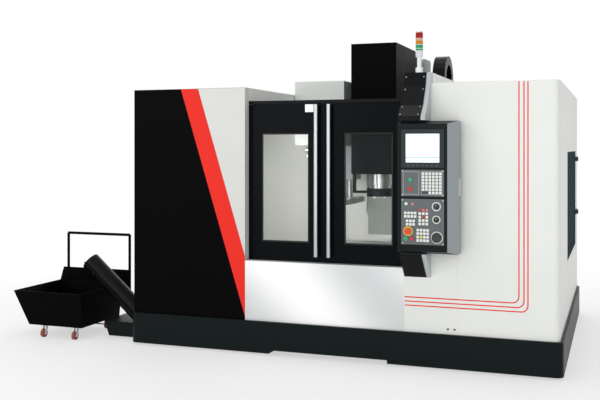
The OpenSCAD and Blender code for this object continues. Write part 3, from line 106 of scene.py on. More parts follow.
class TrimSizes(bpy.types.PropertyGroup):
    """Sizes of the trim that is dressed onto the frame."""

    vinyl: length("Vinyl", "Thickness of the stripe film", 0.0005)
    pinstripe: length("Pinstripe", "Width of one pinstripe", 0.009)
    pinstripe_bend: length("Pinstripe bend", "Radius of a pinstripe's corner", 0.05)
    gasket: length("Gasket", "Width of a window gasket", 0.014)
    bolt: length("Bolt", "Diameter of a console bolt", 0.011)
    bolt_head: length("Bolt head", "Height of a console bolt's bright head", 0.0015)
    screw: length("Screw", "Diameter of a panel screw", 0.009)
    key_cap: length("Key cap", "Width of a key cap", 0.020)
    key_border: length("Key border", "Width of the line round a key field", 0.005)
    dial_ring: length("Dial ring", "Outer radius of the ring round a dial", 0.034)


def finishes():
    return bpy.context.scene.machine_finishes


def trim():
    return bpy.context.scene.machine_trim


# Materials

# Scales of the noises, in waves to the metre
PAINT_GRAIN, PAINT_CLOUD, RUB_PATCHES = 900, 2.3, 28
METAL_LINES, METAL_CLOUD = 60, 3.1
PLASTIC_GRAIN, PLASTIC_CLOUD = 1400, 40
GLASS_FILM, FLOOR_GRAIN = 5, 6
LINE_DETAIL = 6

# Radii of edges that look rounded
PAINT_EDGE, METAL_EDGE, PLASTIC_EDGE = 0.0025, 0.0015, 0.0012
EDGE_SAMPLES = 4

# Strength and depth of the fine relief
PAINT_BUMP, PAINT_RELIEF = 0.04, 0.0006
METAL_BUMP, METAL_RELIEF = 0.12, 0.0003
PLASTIC_BUMP, PLASTIC_RELIEF = 0.06, 0.0004

# How far the colour of a finish strays, as darker and lighter factors
PAINT_TONES, METAL_TONES, PLASTIC_TONES = (0.94, 1.05), (0.92, 1.04), (0.93, 1.05)

# How far its roughness strays, down and up
PAINT_ROUGH, METAL_ROUGH, PLASTIC_ROUGH = (-0.06, 0.08), (-0.08, 0.1), (-0.05, 0.07)

# Rubbed edges: how sharply they show, and the range of their patches
RUB_GAIN = 7
RUB_RANGE = (-0.5, 0.9)

COAT_ROUGH = 0.12
# A face counts as a side where its normal's X passes from the first value to the second
SIDE_TURN = (0.3, 0.4)
# Painted highlight on the stainless sheet: scale, bend and shift of a slanting band of light laid into its
# colour
PAINTED_HIGHLIGHT_SCALE, PAINTED_HIGHLIGHT_BEND, PAINTED_HIGHLIGHT_SHIFT = 0.42, 0.6, 1.6

# Stretch of brushed lines that run along X, Z or Y, and of plated metal
ALONG_X, ALONG_Z, ALONG_Y, SPECKLED = (1, 60, 60), (60, 60, 1), (60, 1, 60), (8, 8, 8)

GLASS_TINT = srgb(120, 130, 130)
GLASS_IOR = 1.5
FILM_STRETCH = (1, 1, 0.4)
FILM_ROUGH, FILM_ALPHA = (0.03, 0.1), (0.02, 0.06)


def new_material(name):
    material = bpy.data.materials.new(name)
    material.use_nodes = True
    tree = material.node_tree
    return material, tree, tree.nodes["Principled BSDF"]


def grain_noise(tree, scale, stretch=(1, 1, 1), detail=4):
    place = tree.nodes.new("ShaderNodeTexCoord")
    mapping = tree.nodes.new("ShaderNodeMapping")
    mapping.inputs["Scale"].default_value = stretch
    noise = tree.nodes.new("ShaderNodeTexNoise")
    noise.inputs["Scale"].default_value = scale
    noise.inputs["Detail"].default_value = detail
    tree.links.new(place.outputs["Object"], mapping.inputs["Vector"])
    tree.links.new(mapping.outputs["Vector"], noise.inputs["Vector"])
    return noise.outputs["Fac"]


def ranged(tree, value, low, high):
    """Turns 0 to 1 into low to high."""
    node = tree.nodes.new("ShaderNodeMapRange")
    node.inputs["To Min"].default_value = low
    node.inputs["To Max"].default_value = high
    tree.links.new(value, node.inputs["Value"])
    return node.outputs["Result"]


def spanned(tree, value, low, high):
    """Turns low to high into 0 to 1."""
    node = tree.nodes.new("ShaderNodeMapRange")
    node.inputs["From Min"].default_value = low
    node.inputs["From Max"].default_value = high
    tree.links.new(value, node.inputs["Value"])
    return node.outputs["Result"]


def shade(value, factor):
    return tuple(min(1, c * factor) for c in value)


def mottled(tree, cloud, base, tones):
    """A colour that drifts between a darker and a lighter tone."""
    node = tree.nodes.new("ShaderNodeMix")
    node.data_type = "RGBA"
    node.inputs["A"].default_value = (*shade(base, tones[0]), 1)
    node.inputs["B"].default_value = (*shade(base, tones[1]), 1)
    tree.links.new(cloud, node.inputs["Factor"])
    return node.outputs["Result"]


def laid_over(tree, factor, tone, cover):
    """Covers a tone with a plain colour where the factor is 1."""
    node = tree.nodes.new("ShaderNodeMix")
    node.data_type = "RGBA"
    node.inputs["B"].default_value = (*cover, 1)
    tree.links.new(factor, node.inputs["Factor"])
    tree.links.new(tone, node.inputs["A"])
    return node.outputs["Result"]


def rounded_edges(tree, radius):
    """Normals that turn softly round each edge."""
    node = tree.nodes.new("ShaderNodeBevel")
    node.samples = EDGE_SAMPLES
    node.inputs["Radius"].default_value = radius
    return node.outputs["Normal"]


def rubbed_edges(tree, rounded):
    """Patches on edges, where the rounded and the true normals differ."""
    geometry = tree.nodes.new("ShaderNodeNewGeometry")
    alike = tree.nodes.new("ShaderNodeVectorMath")
    alike.operation = "DOT_PRODUCT"
    tree.links.new(rounded, alike.inputs[0])
    tree.links.new(geometry.outputs["Normal"], alike.inputs[1])
    patchy = tree.nodes.new("ShaderNodeMath")
    patchy.operation = "MULTIPLY"
    patchy.use_clamp = True
    tree.links.new(spanned(tree, alike.outputs["Value"], 1, 1 - 1 / RUB_GAIN), patchy.inputs[0])
    tree.links.new(ranged(tree, grain_noise(tree, RUB_PATCHES), *RUB_RANGE), patchy.inputs[1])
    return patchy.outputs[0]


def turned_right(tree):
    """Rises from 0 to 1 as a face turns from the front to the right."""
    geometry = tree.nodes.new("ShaderNodeNewGeometry")
    parts = tree.nodes.new("ShaderNodeSeparateXYZ")
    tree.links.new(geometry.outputs["True Normal"], parts.inputs["Vector"])
    return spanned(tree, parts.outputs["X"], *SIDE_TURN)


def set_rough(tree, shader, noise, rough, stray):
    down, up = stray
    tree.links.new(ranged(tree, noise, rough + down, rough + up), shader.inputs["Roughness"])


def set_relief(tree, shader, noise, rounded, strength, depth):
    relief = tree.nodes.new("ShaderNodeBump")
    relief.inputs["Strength"].default_value = strength
    relief.inputs["Distance"].default_value = depth
    tree.links.new(noise, relief.inputs["Height"])
    tree.links.new(rounded, relief.inputs["Normal"])
    tree.links.new(relief.outputs["Normal"], shader.inputs["Normal"])


def painted(name, base, rough, wear, gloss=0.5, coat=0.0, grain=PAINT_GRAIN, bump=PAINT_BUMP, side=None):
    """Paint over metal: fine orange peel, cloudy gloss, soft folds and rubbed edges."""
    material, tree, shader = new_material(name)
    shader.inputs["Specular IOR Level"].default_value = gloss
    shader.inputs["Coat Weight"].default_value = coat
    shader.inputs["Coat Roughness"].default_value = COAT_ROUGH
    cloud = grain_noise(tree, PAINT_CLOUD)
    rounded = rounded_edges(tree, PAINT_EDGE)
    tone = mottled(tree, cloud, base, PAINT_TONES)
    if side is not None:
        tone = laid_over(tree, turned_right(tree), tone, side)
    tone = laid_over(tree, rubbed_edges(tree, rounded), tone, wear)
    tree.links.new(tone, shader.inputs["Base Color"])
    set_rough(tree, shader, cloud, rough, PAINT_ROUGH)
    set_relief(tree, shader, grain_noise(tree, grain), rounded, bump, PAINT_RELIEF)
    return material


# A painted highlight: a slanting wave band that lightens the colour where light would streak across the
# sheet
def painted_slanting_highlight(tree):
    place = tree.nodes.new("ShaderNodeTexCoord")
    wave = tree.nodes.new("ShaderNodeTexWave")
    wave.bands_direction = "DIAGONAL"
    wave.inputs["Scale"].default_value = PAINTED_HIGHLIGHT_SCALE
    wave.inputs["Distortion"].default_value = PAINTED_HIGHLIGHT_BEND
    wave.inputs["Phase Offset"].default_value = PAINTED_HIGHLIGHT_SHIFT
    tree.links.new(place.outputs["Object"], wave.inputs["Vector"])
    return wave.outputs["Fac"]


def brushed(name, base, rough, stretch, metallic=1.0, painted_highlight=None):
    """Bare metal with fine lines drawn along one direction, cloudy gloss and perhaps a painted highlight: a
    slanting band of light laid into its colour.
    """
    material, tree, shader = new_material(name)
    shader.inputs["Metallic"].default_value = metallic
    lines = grain_noise(tree, METAL_LINES, stretch, LINE_DETAIL)
    tone = mottled(tree, grain_noise(tree, METAL_CLOUD), base, METAL_TONES)
    if painted_highlight is not None:
        tone = laid_over(tree, painted_slanting_highlight(tree), tone, painted_highlight)
    tree.links.new(tone, shader.inputs["Base Color"])
    set_rough(tree, shader, lines, rough, METAL_ROUGH)
    set_relief(tree, shader, lines, rounded_edges(tree, METAL_EDGE), METAL_BUMP, METAL_RELIEF)
    return material


def moulded(name, base, rough, glow=0.0, gloss=0.5):
    """Moulded plastic or rubber: faint mottling, fine grain and rounded edges."""
    material, tree, shader = new_material(name)
    shader.inputs["Specular IOR Level"].default_value = gloss
    cloud = grain_noise(tree, PLASTIC_CLOUD)
    tone = mottled(tree, cloud, base, PLASTIC_TONES)
    tree.links.new(tone, shader.inputs["Base Color"])
    if glow:
        tree.links.new(tone, shader.inputs["Emission Color"])
        shader.inputs["Emission Strength"].default_value = glow
    set_rough(tree, shader, cloud, rough, PLASTIC_ROUGH)
    set_relief(tree, shader, grain_noise(tree, PLASTIC_GRAIN), rounded_edges(tree, PLASTIC_EDGE),
               PLASTIC_BUMP, PLASTIC_RELIEF)
    return material


def window_glass(name):
    """Clear safety glass with a faint film of dried coolant."""
    material, tree, shader = new_material(name)
    shader.inputs["Base Color"].default_value = (*GLASS_TINT, 1)
    shader.inputs["IOR"].default_value = GLASS_IOR
    film = grain_noise(tree, GLASS_FILM, FILM_STRETCH)
    tree.links.new(ranged(tree, film, *FILM_ROUGH), shader.inputs["Roughness"])
    tree.links.new(ranged(tree, film, *FILM_ALPHA), shader.inputs["Alpha"])
    return material


def paints():
    """Each paint: material, colour, roughness and the colour of its rubbed edges."""
    c = finishes()
    return {
        "white": painted("panel_white", c.panel_white, 0.34, srgb(200, 202, 200)),
        "pale": painted("cover_pale", srgb(226, 231, 226), 0.4, srgb(170, 174, 170)),
        "field": painted("stripe_field", c.side_grey, 0.3, srgb(200, 202, 200)),
        "black": painted("panel_black", c.panel_black, 0.36, srgb(46, 48, 52), gloss=0.1),
        "door_black": painted("door_black", c.door_black, 0.25, srgb(44, 48, 52), gloss=0.04, coat=0.01),
        "skirt": painted("skirt_dark", c.skirt_dark, 0.4, srgb(44, 54, 55), gloss=0.1),
        "vinyl": painted("stripe_red", c.stripe_red, 0.4, srgb(232, 70, 58), gloss=0.12),
        "guard": painted("guard_grey", c.guard_grey, 0.42, srgb(150, 152, 148)),
        "cast": painted("cast_grey", c.cast_grey, 0.5, srgb(120, 124, 124), grain=260, bump=0.25),
        "control": painted("control_grey", c.control_grey, 0.45, srgb(150, 156, 156)),
        "post": painted("post_grey", srgb(180, 186, 188), 0.42, srgb(200, 204, 204)),
        "head": painted("head_black", srgb(3, 3, 4), 0.5, srgb(24, 26, 28), gloss=0.03),
        # Side door: the door is dark, and its lighter blue-grey colour without gloss is a painted reflection
        # of the bright room at a glancing angle
        "side_dark_painted_reflection": painted("side_dark_painted_reflection", srgb(66, 78, 86), 0.6, srgb(70, 78, 84), gloss=0.0),
        "deep": painted("deep_black", srgb(3, 3, 4), 0.45, srgb(80, 82, 84), gloss=0.03),
        "two_tone": painted("control_box", srgb(13, 19, 21), 0.4, srgb(52, 60, 62), gloss=0.12,
                            side=c.box_grey),
        "bezel": painted("screen_bezel", srgb(36, 45, 47), 0.4, srgb(76, 84, 86), gloss=0.2),
    }


def metals():
    """Each metal: material, colour, roughness, run of its lines, how metallic it is and, for the sheet, the
    colour of its painted highlight.
    """
    c = finishes()
    return {
        # The lower front panel's sheet carries a painted highlight, a slanting band of near white in its
        # colour
        "sheet": brushed("stainless_sheet", c.stainless, 0.34, ALONG_X, 0.35, painted_highlight=srgb(250, 250, 250)),
        "handle": brushed("handle_steel", srgb(168, 171, 173), 0.24, ALONG_Z),
        "ground": brushed("ground_iron", c.machined, 0.36, ALONG_X),
        "cover": brushed("way_cover", c.way_cover, 0.45, ALONG_Z, 0.3),
        "turned": brushed("turned_steel", c.stainless, 0.25, ALONG_Y),
        "zinc": brushed("zinc_plate", c.stainless, 0.4, SPECKLED, 0.9),
    }


def plastics():
    """Each plastic, rubber or lens: material, colour and roughness."""
    c = finishes()
    return {
        "rubber": moulded("rubber_black", c.rubber_black, 0.7),
        "knob": moulded("knob_black", srgb(26, 27, 28), 0.42),
        "wheel": moulded("wheel_brown", c.wheel_brown, 0.62),
        "stop": moulded("stop_red", c.stop_red, 0.28),
        "start": moulded("start_green", c.start_green, 0.3, glow=0.15),
        "hold": moulded("hold_red", c.hold_red, 0.3, glow=0.1),
        "yellow": moulded("ring_yellow", c.ring_yellow, 0.4),
        "key_white": moulded("key_white", c.key_white, 0.42),
        "key_grey": moulded("key_grey", srgb(150, 154, 154), 0.42),
        "key_dark": moulded("key_dark", srgb(52, 55, 58), 0.42),
        "key_pink": moulded("key_pink", srgb(206, 120, 124), 0.42),
        "key_lime": moulded("key_lime", srgb(196, 206, 84), 0.42, glow=0.1),
        "key_mint": moulded("key_mint", srgb(206, 232, 222), 0.42, glow=0.1),
        "key_red": moulded("key_red", srgb(176, 60, 62), 0.42),
        "display": moulded("display_glow", c.display_glow, 0.2, glow=0.75),
        "display_bar": moulded("display_bar", srgb(190, 222, 228), 0.2, glow=0.6),
        "display_dark": moulded("display_dark", srgb(150, 176, 182), 0.2, glow=0.4),
        "lamp_white": moulded("lamp_white", srgb(232, 234, 232), 0.3),
        "lamp_clear": moulded("lamp_clear", srgb(214, 220, 222), 0.15),
        "lamp_green": moulded("lamp_green", c.start_green, 0.3, glow=0.1, gloss=0.15),
        "lamp_orange": moulded("lamp_orange", c.lamp_orange, 0.3, glow=0.1, gloss=0.15),
        "lamp_red": moulded("lamp_red", srgb(158, 30, 36), 0.3, glow=0.1, gloss=0.15),
        "mark": moulded("dial_mark", srgb(236, 236, 232), 0.5),
    }


# All finishes, by the name that pieces ask for
FINISH = {}


def finish_node(name, key):
    """Gives a CAD node its finish."""
    node = NODES[name]
    node.data.materials.clear()
    node.data.materials.append(FINISH[key])


# Mesh making

FORWARD, UP = (0, -1, 0), (0, 0, 1)
SAME_PLACE = 1e-6


def mesh_from(name, bm):
    mesh = bpy.data.meshes.new(name)
    bmesh.ops.recalc_face_normals(bm, faces=bm.faces)
    bm.to_mesh(mesh)
    bm.free()
    return mesh


def add_piece(name, bm, finish, body="machine"):
    """Makes an object from a mesh under work, which rides on a body."""
    mesh = mesh_from(name, bm)
    piece = bpy.data.objects.new(name, mesh)
    bpy.context.scene.collection.objects.link(piece)
    mesh.materials.append(FINISH[finish])
    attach(piece, body)
    return piece


def middle_of(node):
    low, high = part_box(node)
    return (low + high) / 2


def add_block(bm, low, high, round_off=0.0):
    """A box between two corners, with its edges rounded."""
    low, high = Vector(low), Vector(high)
    place = Matrix.Translation((low + high) / 2) @ Matrix.Diagonal((*(high - low), 1))
    made = bmesh.ops.create_cube(bm, size=1, matrix=place)
    if round_off:
        edges = {e for v in made["verts"] for e in v.link_edges}
        bmesh.ops.bevel(bm, geom=list(edges), offset=round_off, segments=2, affect="EDGES", profile=0.5)


def add_disc(bm, centre, axis, radius, depth, sides=28, round_off=0.0):
    """A round piece along an axis, starting at its centre, with a rounded front edge."""
    centre, axis = Vector(centre), Vector(axis)
    turn = Vector(UP).rotation_difference(axis).to_matrix().to_4x4()
    made = bmesh.ops.create_cone(
        bm, cap_ends=True, segments=sides, radius1=radius, radius2=radius, depth=depth,
        matrix=Matrix.Translation(centre + axis * depth / 2) @ turn)
    if round_off:
        tip = centre + axis * depth
        edges = {e for v in made["verts"] for e in v.link_edges
                 if all(abs((w.co - tip).dot(axis)) < SAME_PLACE for w in e.verts)}
        bmesh.ops.bevel(bm, geom=list(edges), offset=round_off, segments=3, affect="EDGES", profile=0.5)


def join_rows(bm, rows):
    """Faces between each row of points and the next. Each row is a closed loop."""
    for row, after in zip(rows, rows[1:]):
        for i in range(len(row)):
            j = (i + 1) % len(row)
            bm.faces.new((row[i], row[j], after[j], after[i]))


def close_ends(bm, rows):
    bm.faces.new(rows[0][::-1])
    bm.faces.new(rows[-1])


def add_ring(bm, centre, axis, outer, inner, depth, sides=40):
    """A flat ring with its back at centre."""
    turn = Vector(UP).rotation_difference(Vector(axis)).to_matrix()
    angles = [2 * math.pi * i / sides for i in range(sides)]
    rows = []
    for radius, rise in ((outer, 0), (outer, depth), (inner, depth), (inner, 0)):
        loop = [Vector((radius * math.cos(a), radius * math.sin(a), rise)) for a in angles]
        rows.append([bm.verts.new(Vector(centre) + turn @ point) for point in loop])
    join_rows(bm, rows + rows[:1])


def add_plate(bm, outline, rise, thick):
    """A flat film in X and Z with the given outline, from Y rise forward by its thickness."""
    rows = [[bm.verts.new((x, y, z)) for x, z in outline] for y in (rise, rise - thick)]
    join_rows(bm, rows)
    close_ends(bm, rows)


def strip_edges(points, width):
    """Both edges of a strip of even width that follows a path in X and Z."""
    left, right = [], []
    for i, point in enumerate(points):
        before, after = Vector(points[max(0, i - 1)]), Vector(points[min(len(points) - 1, i + 1)])
        along = (after - before).normalized()
        side = Vector((-along.y, along.x)) * width / 2
        left.append(tuple(Vector(point) + side))
        right.append(tuple(Vector(point) - side))
    return left, right


def add_strip(bm, points, width, rise, thick):
    """A thin film strip along a path in X and Z, made of quads so that bends stay clean."""
    front = rise - thick
    rows = []
    for (lx, lz), (rx, rz) in zip(*strip_edges(points, width)):
        section = (lx, rise, lz), (lx, front, lz), (rx, front, rz), (rx, rise, rz)
        rows.append([bm.verts.new(point) for point in section])
    join_rows(bm, rows)
    close_ends(bm, rows)


def add_frame(bm, low, high, width, rise, depth, round_off):
    """A rectangular frame in X and Z, standing forward of Y rise."""
    (x0, z0), (x1, z1) = low, high
    bars = (((x0, z0), (x1, z0 + width)), ((x0, z1 - width), (x1, z1)),
            ((x0, z0 + width), (x0 + width, z1 - width)), ((x1 - width, z0 + width), (x1, z1 - width)))
    for a, b in bars:
        add_block(bm, (a[0], rise - depth, a[1]), (b[0], rise, b[1]), round_off)


class PieceOperator:
    """What all of the machine's operators share."""

    bl_options = {"REGISTER", "UNDO"}


class MACHINE_OT_finishes(PieceOperator, bpy.types.Operator):
    """Makes all of the machine's paints, metals, plastics and glass"""

    bl_idname = "machine.finishes"
    bl_label = "Finishes"

    def execute(self, context):
        FINISH.update({**paints(), **metals(), **plastics(), "glass": window_glass("window_glass")})
        return {"FINISHED"}


class MACHINE_OT_enclosure(PieceOperator, bpy.types.Operator):
    """Paints the skirt, panels and rear cabinet and adds the plugs"""

    bl_idname = "machine.enclosure"
    bl_label = "Enclosure"

    # Each plug on the right centre panel: X and Z
    plug_places = ((0.966, 0.322), (1.017, 0.322))
    plug_radius = 0.008
    plug_rise = 0.003
    plug_round = 0.001
    plug_sides = 20

    def execute(self, context):
        finish_node("base_skirt", "skirt")
        finish_node("levelling_pads", "zinc")
        finish_node("left_front_panel", "deep")
        finish_node("lower_front_panel", "sheet")
        # The side door's colour holds a painted reflection in place of a real one
        finish_node("side_door", "side_dark_painted_reflection")
        for name in ("left_side_panel", "right_center_panel", "right_panel", "rear_cabinet", "cabinet_door"):
            finish_node(name, "white")
        finish_node("main_switch", "stop")
        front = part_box("right_center_panel")[0].y
        plugs = bmesh.new()
        for x, z in self.plug_places:
            add_disc(plugs, (x, front, z), FORWARD, self.plug_radius, self.plug_rise, self.plug_sides,
                     self.plug_round)
        add_piece("panel_plugs", plugs, "rubber")
        return {"FINISHED"}


class MACHINE_OT_stripes(PieceOperator, bpy.types.Operator):
    """Lays the diagonal stripe, the pale field and the pinstripes on the front panels"""

    bl_idname = "machine.stripes"
    bl_label = "Stripes"

    # X of the stripe's edges at the top, and Z where they reach the panel's right edge
    stripe_top = (-1.342, -1.178)
    stripe_low = (0.31, 0.815)
    film_in = 0.001
    sill_gap = 0.004
    # Each pinstripe: X of its upright run and Z of its level one
    pinstripes = ((1.502, 0.555), (1.539, 0.522), (1.568, 0.49))
    pinstripe_left = 0.625
    pinstripe_top_in = 0.006
    bend_steps = 10

    def pinstripe(self, x, z):
        bend = trim().pinstripe_bend
        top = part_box("right_panel")[1].z - self.pinstripe_top_in
        angles = [math.pi / 2 * i / self.bend_steps for i in range(self.bend_steps + 1)]
        corner = [(x - bend + bend * math.cos(a), z + bend - bend * math.sin(a)) for a in angles]
        return [(x, top), *corner, (self.pinstripe_left, z)]

    def execute(self, context):
        low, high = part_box("left_front_panel")
        film = trim().vinyl
        right, top, front = high.x, high.z - self.film_in, low.y
        left_top, right_top = self.stripe_top
        left_low, right_low = self.stripe_low
        stripe = bmesh.new()
        outline = (left_top, top), (right_top, top), (right, right_low), (right, left_low)
        add_plate(stripe, outline, front, film)
        add_piece("diagonal_stripe", stripe, "vinyl")
        field = bmesh.new()
        add_plate(field, [(right_top, top), (right, top), (right, right_low)], front, film)
        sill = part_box("lower_front_panel")[1].z + self.sill_gap
        add_block(field, (right, front, sill), (right + film, high.y - self.film_in, top))
        add_piece("pale_field", field, "field")
        lines = bmesh.new()
        for x, z in self.pinstripes:
            add_strip(lines, self.pinstripe(x, z), trim().pinstripe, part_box("right_panel")[0].y, film)
        add_piece("pinstripes", lines, "vinyl")
        return {"FINISHED"}


class MACHINE_OT_doors(PieceOperator, bpy.types.Operator):
    """Finishes the sliding doors and fits their gaskets, edge wipers and the plate over the left handle"""

    bl_idname = "machine.doors"
    bl_label = "Doors"

    gasket_in = 0.0115
    gasket_depth = 0.012
    gasket_round = 0.003
    wiper_wide = 0.058
    wiper_in = 0.004
    wiper_thick = 0.012
    wiper_top = 2.088
    wiper_round = 0.002
    # Opposite corners of the plate over the left handle: X and Z
    plate = ((-0.236, 2.020), (-0.130, 2.085))
    plate_rise = 0.003
    plate_round = 0.001

    def edge_wiper(self, side):
        low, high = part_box(f"{side}_door")
        x = low.x - self.wiper_wide if side == "left" else high.x
        y = low.y + self.wiper_in
        wiper = bmesh.new()
        add_block(wiper, (x, y, low.z), (x + self.wiper_wide, y + self.wiper_thick, self.wiper_top),
                  self.wiper_round)
        add_piece(f"{side}_edge_wiper", wiper, "door_black", f"{side}_door")

    def gasket(self, side):
        low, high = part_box(f"{side}_window")
        edge = self.gasket_in
        gasket = bmesh.new()
        add_frame(gasket, (low.x + edge, low.z + edge), (high.x - edge, high.z - edge), trim().gasket,
                  low.y, self.gasket_depth, self.gasket_round)
        add_piece(f"{side}_gasket", gasket, "rubber", f"{side}_door")

    def execute(self, context):
        for side in ("left", "right"):
            finish_node(f"{side}_door", "door_black")
            finish_node(f"{side}_handle", "handle")
            finish_node(f"{side}_window", "glass")
            self.edge_wiper(side)
            self.gasket(side)
        finish_node("door_track", "black")
        plate = bmesh.new()
        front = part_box("left_door")[0].y
        (x0, z0), (x1, z1) = self.plate
        add_block(plate, (x0, front - self.plate_rise, z0), (x1, front, z1), self.plate_round)
        add_piece("interlock_plate", plate, "zinc", "left_door")
        return {"FINISHED"}


class MACHINE_OT_console(PieceOperator, bpy.types.Operator):
    """Finishes the console post, its plates and the control box, and adds bolts, latch and screws"""

    bl_idname = "machine.console"
    bl_label = "Console"

    # Each bolt row: share of the slope's reach, height over the box
    bolt_rows = ((0.94, 0.050), (0.62, 0.110), (0.2, 0.250), (0.04, 0.350))
    slope_reach = 0.233
    slope_back = -1.425
    bolt_rise = 0.011
    bolt_in = 0.018
    bolt_sides = 20
    bolt_round = 0.0005
    # Depth, thickness and height of the latch
    latch = (0.09, 0.006, 0.13)
    latch_back = 0.03
    latch_low = 1.36
    latch_round = 0.003
    # Each panel with its keys' height over the face
    panels = (("keyboard_panel", 0.006), ("operator_panel", 0.004))
    screw_in = 0.009
    screw_rise = 0.002
    screw_sides = 16
    screw_round = 0.0007

    def bolts(self):
        low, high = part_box("console_plates")
        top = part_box("control_box")[1].z
        bolts = bmesh.new()
        for reach, rise in self.bolt_rows:
            face = self.slope_back - reach * self.slope_reach - self.bolt_rise
            for x in (low.x + self.bolt_in, high.x - self.bolt_in):
                add_disc(bolts, (x, face, top + rise), FORWARD, trim().bolt / 2, trim().bolt_head,
                         self.bolt_sides, self.bolt_round)
        add_piece("console_bolts", bolts, "key_grey")

    def box_latch(self):
        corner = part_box("control_box")[1]
        deep, thick, tall = self.latch
        back = corner.y - self.latch_back
        latch = bmesh.new()
        add_block(latch, (corner.x, back - deep, self.latch_low),
                  (corner.x + thick, back, self.latch_low + tall), self.latch_round)
        add_piece("box_latch", latch, "post")

    def panel_screws(self):
        screws = bmesh.new()
        for node, key_rise in self.panels:
            low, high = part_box(node)
            for x in (low.x + self.screw_in, high.x - self.screw_in):
                for z in (low.z + self.screw_in, high.z - self.screw_in):
                    add_disc(screws, (x, low.y + key_rise, z), FORWARD, trim().screw / 2, self.screw_rise,
                             self.screw_sides, self.screw_round)
        add_piece("panel_screws", screws, "zinc")

    def execute(self, context):
        finish_node("control_console", "post")
        finish_node("console_plates", "black")
        finish_node("control_box", "two_tone")
        finish_node("keyboard_panel", "control")
        finish_node("operator_panel", "control")
        self.bolts()
        self.box_latch()
        self.panel_screws()
        return {"FINISHED"}


class MACHINE_OT_display(PieceOperator, bpy.types.Operator):
    """Lights the screen with a plain layout of fields and caps its soft keys"""

    bl_idname = "machine.display"
    bl_label = "Display"

    bezel = 0.034
    chin = 0.006
    recess = 0.006
    glass_thick = 0.0015
    # Front and back of a bar, forward of the recess
    bar_film = (0.0022, 0.0014)
    title_in = 0.006
    title_down = (0.022, 0.008)
    rows = 6
    row_left = 0.012
    row_down = 0.045
    row_pitch = 0.02
    row_tall = 0.006
    # Shares of the width that the rows take in turn
    row_shares = (0.3, 0.36, 0.42)
    rule_up = (0.034, 0.042)
    soft_keys = 7
    soft_gap = 0.003
    soft_up = (0.006, 0.024)
    cap_half = 0.010
    cap_rise = 0.003
    cap_up = (0.012, 0.024)
    cap_round = 0.0015

    def execute(self, context):
        finish_node("screen", "bezel")
        low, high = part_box("screen")
        x0, x1 = low.x + self.bezel, high.x - self.bezel
        z0, z1 = low.z + self.bezel + self.chin, high.z - self.bezel
        recess = low.y + self.recess
        front, back = (recess - rise for rise in self.bar_film)
        glass, bars, rule, caps = bmesh.new(), bmesh.new(), bmesh.new(), bmesh.new()
        add_block(glass, (x0, recess - self.glass_thick, z0), (x1, recess, z1))
        add_piece("display_glass", glass, "display")
        title_low, title_high = (z1 - down for down in self.title_down)
        add_block(bars, (x0 + self.title_in, front, title_low), (x1 - self.title_in, back, title_high))
        left = x0 + self.row_left
        for i in range(self.rows):
            z = z1 - self.row_down - i * self.row_pitch
            share = self.row_shares[i % len(self.row_shares)]
            add_block(bars, (left, front, z), (left + (x1 - x0) * share, back, z + self.row_tall))
        rule_low, rule_high = (z0 + up for up in self.rule_up)
        add_block(rule, (x0, front, rule_low), (x1, back, rule_high))
        pitch = (x1 - x0) / self.soft_keys
        soft_low, soft_high = (z0 + up for up in self.soft_up)
        cap_low, cap_high = (low.z + up for up in self.cap_up)
        for i in range(self.soft_keys):
            add_block(bars, (x0 + i * pitch + self.soft_gap, front, soft_low),
                      (x0 + (i + 1) * pitch - self.soft_gap, back, soft_high))
            x = x0 + (i + 0.5) * pitch
            add_block(caps, (x - self.cap_half, low.y - self.cap_rise, cap_low),
                      (x + self.cap_half, low.y, cap_high), self.cap_round)
        add_piece("display_bars", bars, "display_bar")
        add_piece("display_fields", rule, "display_dark")
        add_piece("soft_keys", caps, "key_dark")
        return {"FINISHED"}


